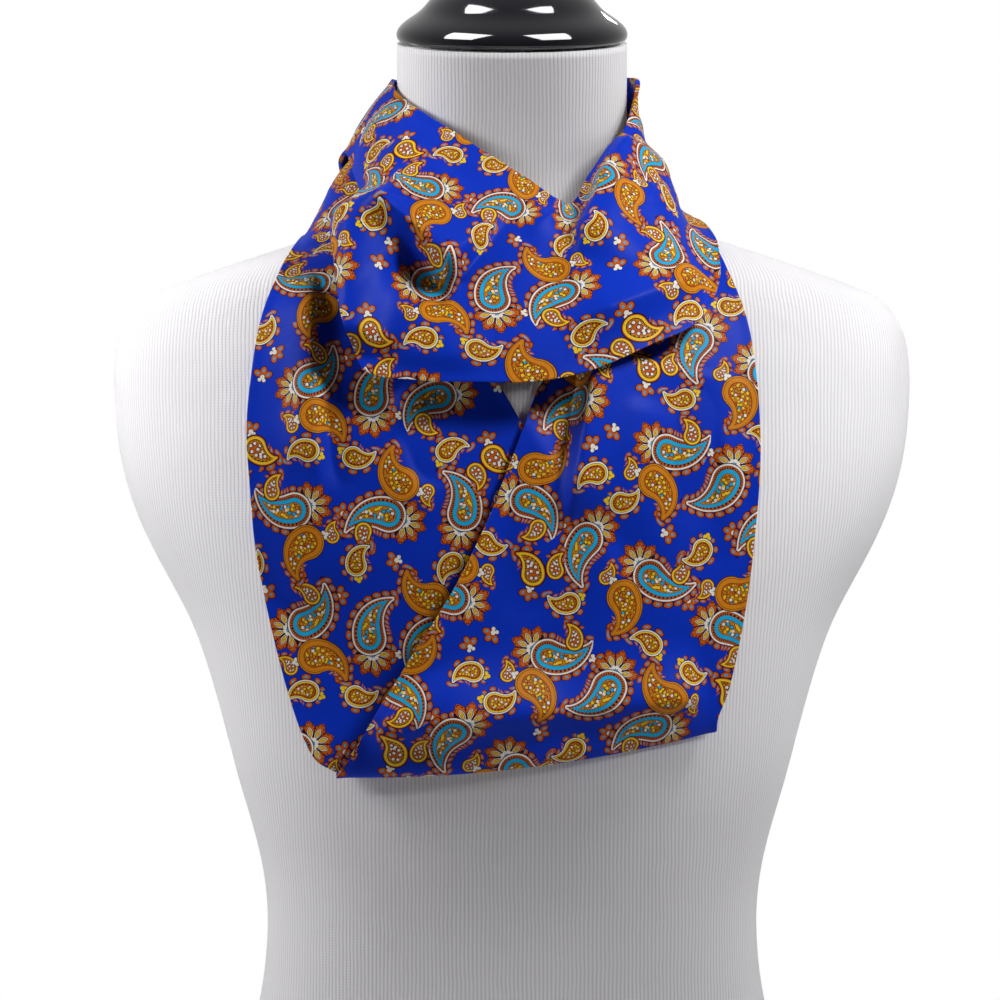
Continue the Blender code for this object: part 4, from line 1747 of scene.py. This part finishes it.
class Press:
    """Prints the cloth, one kind of figure over the other. Its canvas is what has been printed so far."""

    def __init__(self, design: PaisleyPrint, g: Graph, point: Signal) -> None:
        """Starts with the plain ground.

        Args:
            design: The print.
            g: The tree to write in.
            point: The place on the cloth, in millimetres.
        """
        self.design = design
        self.g = g
        self.point = g.vector("MULTIPLY", point, (1 / design.grown,) * 3)
        self.canvas: Signal | Ink = Ink.ROYAL

    def over(self, mask: Signal, colour: "Signal | Ink") -> None:
        """Prints a colour where the mask is 1."""
        self.canvas = self.g.over(self.canvas, mask, colour)

    def nearest(self, motif: Motif, squeeze: float = 1.0, middle: tuple[float, float] = (0.0, 0.0)) -> Signal:
        """Finds the place as the nearest figure of one kind has it.

        Args:
            motif: The kind of figure.
            squeeze: How much the figure's length counts against its width.
            middle: Where its middle is.

        Returns:
            The place in that figure's own frame.
        """
        g = self.g
        half = (self.design.width / 2, self.design.height / 2, 1.0)
        squash = (squeeze, 1.0, 0.0)
        shift = (-squeeze * middle[0], -middle[1], 0.0)
        best = best_place = None
        for spot in self.design.spots(motif):
            centre = (spot.x, spot.y, 0.0)
            high = tuple(c + h for c, h in zip(centre, half))
            low = tuple(c - h for c, h in zip(centre, half))
            near = g.vector("WRAP", self.point, high, low)
            turned = g.node("ShaderNodeVectorRotate", rotation_type="Z_AXIS")
            g.feed(turned.inputs["Vector"], near)
            turned.inputs["Center"].default_value = centre
            turned.inputs["Angle"].default_value = -math.radians(spot.turn)
            grow = (1 / spot.scale, spot.hand / spot.scale, 0.0)
            back = tuple(-c * s for c, s in zip(centre, grow))
            local = g.vector("MULTIPLY_ADD", Signal(g, turned.outputs[0]), grow, back)
            distance = g.vector("LENGTH", g.vector("MULTIPLY_ADD", local, squash, shift))
            if best is None:
                best, best_place = distance, local
            else:
                best_place = g.choose("VECTOR", distance < best, best_place, local)
                best = g.math("MINIMUM", best, distance)
        return best_place

    def beads(self, along: Signal, depth: Signal, pitch: float) -> Signal:
        """Measures from a string of beads along an outline.

        Args:
            along: The way along the outline.
            depth: The distance from the string.
            pitch: The distance from bead to bead.

        Returns:
            The distance from the middle of the nearest bead.
        """
        step = (self.g.math("FRACT", along * (1 / pitch)) - 0.5) * pitch
        return self.g.hypotenuse(step, depth)

    def ring(self, distance: Signal, radius: float, where: Operand = 1.0) -> None:
        """Prints little rust rings with a turquoise middle.

        Args:
            distance: The distance from the middle of the nearest ring.
            radius: The ring's outer radius.
            where: 1 where rings are wanted.
        """
        middle, outline = 0.3, 0.82
        stops = ((0.0, Ink.TURQUOISE), (radius * middle, Ink.RUST), (radius * outline, Ink.MAROON))
        self.over((distance < radius) * where, self.g.bands(distance, radius, stops))

    def mosaic(self, place: Signal, florets: Florets) -> Signal:
        """Fills the heart of a figure with florets.

        Args:
            place: The place along and beside the figure's axis.
            florets: How they are set, and their colours.

        Returns:
            The colour.
        """
        loose, middle, ring = 0.6, 0.38, 0.54
        distance, pick = self.g.cells(place, florets.pitch, loose)
        stops = tuple((i / len(florets.inks), ink) for i, ink in enumerate(florets.inks))
        dots = self.g.over(self.g.bands(pick, 1.0, stops), distance > middle, Ink.MAROON)
        return self.g.over(dots, distance > ring, Ink.OCHRE)

    def start(self, figure: Figure) -> tuple[Signal, dict[str, Signal]]:
        """Finds the nearest paisley of one kind and prints the rings round it.

        Args:
            figure: The kind of paisley.

        Returns:
            The place in the paisley's own frame, and what its teardrop measures.
        """
        rings = figure.rings
        local = self.nearest(figure.motif, figure.squeeze, figure.middle)
        shape = figure.shape.on(self.g, local)
        distance = self.beads(shape["Along"], shape["Level"] + rings.off, rings.pitch)
        self.ring(distance, rings.radius, shape["Along"] > rings.start)
        return local, shape

    def fill(self, figure: Figure, shape: dict[str, Signal], depth: Signal) -> Signal:
        """Colours the inside of a paisley: its bands, and the florets and stitches that it has.

        Args:
            figure: The kind of paisley.
            shape: What its teardrop measures.
            depth: The depth inside its border.

        Returns:
            The colour.
        """
        colour = self.g.bands(depth, figure.reach, figure.bands)
        if figure.florets:
            heart = self.mosaic(shape["Place"], figure.florets)
            colour = self.g.over(colour, depth > figure.florets.depth, heart)
        if figure.stitches:
            away = (depth - figure.stitches.depth) * figure.stitches.flatness
            dots = self.beads(shape["Along"], away, figure.stitches.pitch)
            colour = self.g.over(colour, dots < figure.stitches.radius, Ink.MAROON)
        return colour

    def lay(self, level: Signal, colour: "Signal | Ink") -> None:
        """Prints a paisley's dark outline, and its colour where its level is above 0."""
        self.over(level > -self.design.outline, Ink.MAROON)
        self.over(level > 0.0, colour)

    def knob(self, local: Signal, figure: Figure, ink: Ink) -> None:
        """Prints the trefoil at the head of a paisley.

        Args:
            local: The place in the paisley's own frame.
            figure: The kind of paisley.
            ink: The trefoil's colour.
        """
        knob = self.design.trefoil
        x, y = self.g.parts(local)
        back = x + (figure.shape.radius + knob.off)
        side = self.g.vector("LENGTH", self.g.place(back, abs(y) - knob.aside))
        tip = self.g.vector("LENGTH", self.g.place(back + knob.tip, y))
        distance = self.g.math("MINIMUM", side, tip)
        self.over(distance < knob.lobe + knob.outline, Ink.MAROON)
        self.over(distance < knob.lobe, ink)

    def crests(self) -> None:
        """Prints the large turquoise paisleys with their fans of petals."""
        border = self.design.crest_border
        local, shape = self.start(CREST)
        self.fans(local)
        self.lay(shape["Level"], Ink.CREAM)
        self.over(shape["Level"] > border, self.fill(CREST, shape, CREST.depth(self.g, shape, border)))

    def fans(self, local: Signal) -> None:
        """Prints the fans of pointed petals.

        Args:
            local: The place in the paisley's own frame.
        """
        g, fan = self.g, self.design.fan
        x, y = g.parts(local)
        back = (x + (CREST.shape.radius - fan.sunk)) * -1.0
        radius = g.hypotenuse(back, y)
        turn = fan.petals.turn(g, g.math("ARCTAN2", y, back))
        out = radius * g.math("COSINE", turn)
        side = abs(radius * g.math("SINE", turn))
        level = fan.width(g, out) - side
        shown = (level > -self.design.outline) * (out > fan.start) * (out < fan.reach)
        self.over(shown, Ink.MAROON)
        self.over(shown * (level > 0.0), Ink.RUST)
        seam = radius * (fan.petals.pitch / 2 - abs(turn))
        self.over(shown * (seam < fan.seam), Ink.MAROON)
        dots = self.beads(out, level - fan.stitches.depth, fan.stitches.pitch)
        self.over(shown * (dots < fan.stitches.radius), Ink.MAROON)
        part = g.math("DIVIDE", out - fan.leaf_start, fan.leaf_length, clamp=True)
        width = g.math("POWER", part * (1 - part) * 4.0, fan.leaf_fullness)
        leaf = g.math("MULTIPLY_ADD", width, fan.leaf_width, side * -1.0)
        self.over(leaf > 0.0, g.bands(leaf, fan.leaf_reach, fan.leaf_bands))
        self.over(g.hypotenuse(side, out - fan.dot_at) < fan.dot, Ink.CREAM)
        self.over(radius < fan.heart, Ink.TURQUOISE)

    def golds(self) -> None:
        """Prints the broad ochre paisleys."""
        local, shape = self.start(GOLD)
        self.knob(local, GOLD, Ink.CREAM)
        self.lay(shape["Level"], self.fill(GOLD, shape, GOLD.depth(self.g, shape)))

    def buds(self) -> None:
        """Prints the small yellow paisleys that stand alone."""
        local, shape = self.start(BUD)
        self.knob(local, BUD, Ink.YELLOW)
        self.lay(shape["Level"], self.fill(BUD, shape, shape["Level"]))

    def leaflets(self) -> None:
        """Prints the smallest paisleys, which grow from the larger ones, with blossoms in their hearts."""
        pitch, loose = 1.9, 0.6
        local, shape = self.start(LEAFLET)
        level = shape["Level"]
        inside = self.fill(LEAFLET, shape, level)
        blossom, _ = self.g.cells(local, pitch, loose)
        for radius, depth, ink in ((0.44, 1.9, Ink.MAROON), (0.3, 2.1, Ink.CREAM)):
            inside = self.g.over(inside, (blossom < radius) * (level > depth), ink)
        self.lay(level, inside)

    def sprigs(self) -> None:
        """Prints the sprigs of ring petals round a cream heart."""
        g, sprig = self.g, self.design.sprig
        local = self.nearest(Motif.SPRIG)
        x, y = g.parts(local)
        radius = g.vector("LENGTH", local)
        turn = sprig.petals.turn(g, g.math("ARCTAN2", y, x))
        out = (radius * g.math("COSINE", turn) - sprig.petal_at) * sprig.flatness
        self.ring(g.hypotenuse(out, radius * g.math("SINE", turn)), sprig.petal)
        leaf = g.vector("LENGTH", g.place(x + sprig.leaf_behind, abs(y) - sprig.leaf_aside))
        heart = g.math("MINIMUM", leaf - sprig.leaf, radius - sprig.heart)
        self.over(heart < sprig.outline, Ink.MAROON)
        self.over(heart < 0.0, Ink.CREAM)

    def repeat(self) -> Signal:
        """Prints the whole repeat.

        Returns:
            The print's colour.
        """
        self.sprigs()
        self.crests()
        self.leaflets()
        self.buds()
        self.golds()
        return self.canvas


def new_material(name: str) -> tuple[bpy.types.Material, Graph, bpy.types.Node]:
    """Starts a material.

    Args:
        name: The material's name.

    Returns:
        The material, the writer of its tree and its shader.
    """
    made = bpy.data.materials.new(name)
    made.use_nodes = True
    return made, Graph(made.node_tree), made.node_tree.nodes["Principled BSDF"]


def surface_map(g: Graph, name: str) -> Signal:
    """Reads a piece's own map, which is in metres.

    Args:
        g: The tree to write in.
        name: The map's name.

    Returns:
        The place on the map, in millimetres.
    """
    source = g.node("ShaderNodeUVMap", uv_map=name)
    return g.vector("MULTIPLY", Signal(g, source.outputs[0]), (1 / MM, 1 / MM, 1 / MM))


def bump(g: Graph, height: Signal, strength: float, distance: float) -> Signal:
    """Raises a surface a little.

    Args:
        g: The tree to write in.
        height: How high each place is, from 0 to 1.
        strength: How much of the relief shows.
        distance: How high 1 is, in metres.

    Returns:
        The surface's new normal.
    """
    made = g.node("ShaderNodeBump")
    made.inputs["Strength"].default_value = strength
    made.inputs["Distance"].default_value = distance
    g.feed(made.inputs["Height"], height)
    return Signal(g, made.outputs[0])


@dataclass(frozen=True)
class PrintedSatin:
    """Silky satin with a print: a soft sheen, a fine diagonal grain, a little crumple and a dark dust."""

    print: PaisleyPrint = PaisleyPrint()
    roughness: float = 0.44
    roughness_range: float = 0.14
    specular: float = 0.08
    grain_pitch: float = 0.55
    grain_slant: float = 0.6
    grain_height: float = 0.2
    crumple_scale: float = 0.09
    crumple_height: float = 1.4
    relief: float = 0.0004
    relief_share: float = 0.35
    dust_scale: float = 1.2
    dust_slope: float = 0.6
    dust_start: float = -0.19

    def material(self) -> bpy.types.Material:
        """Builds the material, once.

        Returns:
            The material.
        """
        found = bpy.data.materials.get("printed_satin_look")
        if found:
            return found
        made, g, shader = new_material("printed_satin_look")
        point = surface_map(g, "print")
        dust = g.noise(point, self.dust_scale)
        dust = g.math("MULTIPLY_ADD", dust, self.dust_slope, self.dust_start, clamp=True)
        colour = g.over(Press(self.print, g, point).repeat(), dust, Ink.MAROON)
        x, y = g.parts(point)
        grain = g.math("SINE", (x + y * self.grain_slant) * (2 * math.pi / self.grain_pitch)) * 0.5 + 0.5
        crumple = g.noise(point, self.crumple_scale, detail=3.0)
        relief = grain * self.grain_height + crumple * self.crumple_height
        g.feed(shader.inputs["Base Color"], colour)
        g.feed(shader.inputs["Roughness"], self.roughness + (crumple - 0.5) * self.roughness_range)
        g.feed(shader.inputs["Normal"], bump(g, relief, self.relief_share, self.relief))
        shader.inputs["Specular IOR Level"].default_value = self.specular
        return made


@dataclass(frozen=True)
class RibJersey:
    """Off-white rib knit: upright ribs that wander a little, with painted shade in their grooves, stitches
    and lint.
    """

    rib: float = 2.3
    ridge: Colour = linear(226, 224, 226)
    # Painted shade: the grooves between the ribs get a darker copy of the yarn's colour.
    groove_painted_shade: Colour = linear(186, 184, 188)
    groove_sharpness: float = 0.6
    wander: float = 2.4
    wander_scale: float = 0.03
    stitch: float = 1.5
    stitch_sag: float = 0.8
    stitch_height: float = 0.12
    rib_painted_shade: float = 0.9
    lint_shade: float = 0.2
    lint_start: float = 0.05
    lint_scale: float = 1.6
    lint_height: float = 0.15
    relief: float = 0.0005
    relief_share: float = 0.32
    roughness: float = 0.88
    sheen: float = 0.12
    specular: float = 0.25

    def material(self) -> bpy.types.Material:
        """Builds the material.

        Returns:
            The material.
        """
        made, g, shader = new_material("rib_jersey_look")
        point = surface_map(g, "jersey")
        x, y = g.parts(point)
        turn = math.pi / self.rib
        wander = g.noise(point, self.wander_scale) * self.wander
        height = g.math("POWER", abs(g.math("SINE", (x + wander) * turn)), self.groove_sharpness)
        sag = abs(g.math("SINE", x * turn)) * self.stitch_sag
        knit = g.math("SINE", (y + sag) * (2 * math.pi / self.stitch))
        lint = g.noise(point, self.lint_scale, detail=3.0)
        fluff = lint * self.lint_shade - self.lint_start
        # Painted shade: the colour darkens into each groove by the rib's height, and the lint adds random
        # tone.
        shade = g.math("ADD", height * self.rib_painted_shade, fluff, clamp=True)
        relief = height + knit * self.stitch_height + lint * self.lint_height
        g.feed(shader.inputs["Base Color"], g.choose("RGBA", shade, self.groove_painted_shade, self.ridge))
        g.feed(shader.inputs["Normal"], bump(g, relief, self.relief_share, self.relief))
        shader.inputs["Roughness"].default_value = self.roughness
        shader.inputs["Sheen Weight"].default_value = self.sheen
        shader.inputs["Specular IOR Level"].default_value = self.specular
        return made


@dataclass(frozen=True)
class BlackLacquer:
    """High gloss black lacquer over turned wood, with faint ripples and handling marks."""

    colour: Colour = (0.006, 0.006, 0.008)
    roughness: float = 0.03
    marks: float = 0.1
    marks_scale: float = 60.0
    ripple_scale: float = 90.0
    ripple_share: float = 0.02
    relief: float = 0.0004
    coat: float = 1.0
    coat_roughness: float = 0.03

    def material(self) -> bpy.types.Material:
        """Builds the material.

        Returns:
            The material.
        """
        made, g, shader = new_material("black_lacquer_look")
        place = g.coordinates("Object")
        marks = g.noise(place, self.marks_scale, detail=4.0)
        g.feed(shader.inputs["Roughness"], g.math("MULTIPLY_ADD", marks, self.marks, self.roughness))
        ripple = g.noise(place, self.ripple_scale)
        g.feed(shader.inputs["Normal"], bump(g, ripple, self.ripple_share, self.relief))
        shader.inputs["Base Color"].default_value = (*self.colour, 1)
        shader.inputs["Coat Weight"].default_value = self.coat
        shader.inputs["Coat Roughness"].default_value = self.coat_roughness
        return made


class Lit(Enum):
    """What a light shines on."""

    FORM = "form"
    CAP = "cap"
    SCARF = "scarf"


@dataclass(frozen=True)
class SoftBox:
    """A soft light: where it stands round the form, its size, its power, and what it shines on."""

    name: str
    azimuth: float
    elevation: float
    distance: float
    width: float
    height: float
    power: float
    lit: Lit
    spread: float = 180
    aim: tuple[float, float, float] = (0, 0, 0.45)

    def build(self) -> bpy.types.Object:
        """Hangs the light and turns it to what it is aimed at.

        Returns:
            The light.
        """
        light = bpy.data.lights.new(self.name, "AREA")
        light.shape = "RECTANGLE"
        light.size, light.size_y = self.width, self.height
        light.energy = self.power
        lamp = bpy.data.objects.new(self.name, light)
        a, e = math.radians(self.azimuth), math.radians(self.elevation)
        way = Vector((math.sin(a) * math.cos(e), -math.cos(a) * math.cos(e), math.sin(e)))
        lamp.location = Vector(self.aim) + way * self.distance
        lamp.rotation_euler = way.to_track_quat("Z", "Y").to_euler()
        lamp.data.spread = math.radians(self.spread)
        bpy.context.scene.collection.objects.link(lamp)
        return lamp


@dataclass
class Studio:
    """A plain pale floor in a white room, soft lights and the camera."""

    floor_radius: float = 0.8
    floor_sides: int = 96
    floor_mottle: float = 3.0
    floor_tones: tuple[Colour, Colour] = (linear(186, 186, 188), linear(194, 194, 195))
    floor_roughness: float = 0.8
    glow: float = 0.22
    glow_slope: float = 0.25
    least_glow: float = 0.03
    view_across: float = 0.57
    sensor: float = 36.0
    camera_distance: float = 3.5
    camera_target: Vector = field(default_factory=lambda: Vector((-0.00684, 0.0, 0.422)))
    lights: tuple[SoftBox, ...] = (
        SoftBox("scarf_key", 46, 40, 1.2, 0.22, 0.3, 13, Lit.SCARF),
        SoftBox("scarf_left", -80, 24, 1.0, 0.2, 0.3, 6.4, Lit.SCARF),
        SoftBox("form_key", 66, 46, 1.15, 0.22, 0.32, 6.4, Lit.FORM),
        SoftBox("form_right", 64, 16, 0.85, 0.25, 0.35, 0.7, Lit.FORM),
        SoftBox("form_right_rim", 104, 36, 1.2, 0.4, 0.6, 3, Lit.FORM),
        SoftBox("form_left", -68, 20, 0.85, 0.25, 0.35, 3.6, Lit.FORM),
        SoftBox("form_left_rim", -104, 30, 1.2, 0.4, 0.6, 5, Lit.FORM),
        SoftBox("top_left", -40, 60, 1.6, 0.25, 0.35, 4, Lit.FORM),
        SoftBox("top_right", 40, 60, 1.6, 0.25, 0.35, 3.4, Lit.FORM),
        SoftBox("cap_left", -52, 50, 1.0, 0.45, 0.6, 10, Lit.CAP),
        SoftBox("cap_right", 42, 50, 1.0, 0.45, 0.6, 10, Lit.CAP),
        SoftBox("cap_back", 170, 40, 1.2, 0.4, 0.3, 4, Lit.CAP),
        SoftBox("chest_left", -44, 16, 0.9, 0.1, 0.1, 0.05, Lit.FORM, 26, (-0.14, -0.08, 0.4)),
        SoftBox("chest_right", 36, 16, 0.9, 0.1, 0.1, 0.09, Lit.FORM, 26, (0.14, -0.08, 0.41)),
    )

    def build(self, pieces: dict[Lit, list[bpy.types.Object]]) -> None:
        """Builds the studio round the finished pieces.

        Args:
            pieces: The pieces that each kind of light shines on.
        """
        floor = self.build_floor()
        self.build_world()
        groups = {lit: bpy.data.collections.new(f"lit_{lit.value}") for lit in Lit}
        groups[Lit.FORM].objects.link(floor)
        for lit, lit_pieces in pieces.items():
            for piece in lit_pieces:
                groups[lit].objects.link(piece)
        for light in self.lights:
            lamp = light.build()
            lamp.light_linking.receiver_collection = groups[light.lit]
        self.build_camera()
        bpy.context.scene.view_settings.view_transform = "Standard"

    def build_floor(self) -> bpy.types.Object:
        """Lays a round pale floor under the form.

        Returns:
            The floor.
        """
        bpy.ops.object.select_all(action="DESELECT")
        bpy.ops.mesh.primitive_circle_add(
            vertices=self.floor_sides, radius=self.floor_radius, fill_type="NGON"
        )
        floor = bpy.context.active_object
        floor.name = "floor"
        made, g, shader = new_material("pale_floor")
        tone = g.noise(g.coordinates("Object"), self.floor_mottle, detail=3.0)
        g.feed(shader.inputs["Base Color"], g.choose("RGBA", tone, *self.floor_tones))
        shader.inputs["Roughness"].default_value = self.floor_roughness
        floor.data.materials.append(made)
        return floor

    def build_world(self) -> None:
        """Makes the room white to look at, and dim as a light, dimmest in front of the form."""
        world = bpy.data.worlds.new("white_room")
        world.use_nodes = True
        g = Graph(world.node_tree)
        world.node_tree.nodes.clear()
        _, y = g.parts(g.coordinates("Generated"))
        glow = g.math("MULTIPLY_ADD", y, self.glow_slope, self.glow)
        glow = g.math("MAXIMUM", glow, self.least_glow)
        light = g.node("ShaderNodeBackground")
        g.feed(light.inputs["Strength"], glow)
        light.inputs["Color"].default_value = (1, 1, 1, 1)
        seen = g.node("ShaderNodeBackground")
        seen.inputs["Color"].default_value = (1, 1, 1, 1)
        seen.inputs["Strength"].default_value = 1.0
        mix = g.node("ShaderNodeMixShader")
        path = g.node("ShaderNodeLightPath")
        g.tree.links.new(path.outputs["Is Camera Ray"], mix.inputs[0])
        g.tree.links.new(light.outputs[0], mix.inputs[1])
        g.tree.links.new(seen.outputs[0], mix.inputs[2])
        out = g.node("ShaderNodeOutputWorld")
        g.tree.links.new(mix.outputs[0], out.inputs[0])
        bpy.context.scene.world = world

    def build_camera(self) -> None:
        """Sets the camera level with the chest, far off with a long lens."""
        data = bpy.data.cameras.new("camera")
        data.sensor_width = self.sensor
        data.lens = self.sensor * self.camera_distance / self.view_across
        camera = bpy.data.objects.new("camera", data)
        camera.location = self.camera_target - Vector((0, self.camera_distance, 0))
        camera.rotation_euler = (math.pi / 2, 0, 0)
        bpy.context.scene.collection.objects.link(camera)
        bpy.context.scene.camera = camera


def main() -> None:
    """Builds the form, the scarf and the studio."""
    logging.basicConfig(level=logging.INFO, format="%(message)s")
    form = FormShape()
    torso = TorsoForm(form)
    torso.build()
    torso.dress(RibJersey())
    cap = NeckCap(form)
    cap.build()
    cap.dress(BlackLacquer())
    satin = PrintedSatin()
    lower = LowerLoop(
        name="lower_loop",
        stretches=(LEFT, BACK, RIGHT),
        closed=False,
        rows_per_section=15,
        points_across=97,
        flat_length=1.13,
        flat_area=0.135,
        print_up=((-70, -100, 320), (-70, -100, 440)),
        form=form,
    )
    lower.build()
    lower.dress(satin)
    upper = UpperLoop(
        name="upper_loop",
        stretches=(COWL, NAPE),
        closed=True,
        rows_per_section=24,
        points_across=97,
        flat_length=0.7,
        flat_area=0.085,
        print_up=((0, -120, 510), (0, -80, 600)),
        form=form,
        below=lower,
    )
    upper.build()
    upper.dress(satin)
    Studio().build({Lit.FORM: [torso.piece], Lit.CAP: [cap.piece], Lit.SCARF: [lower.piece, upper.piece]})


if __name__ == "__main__":
    main()
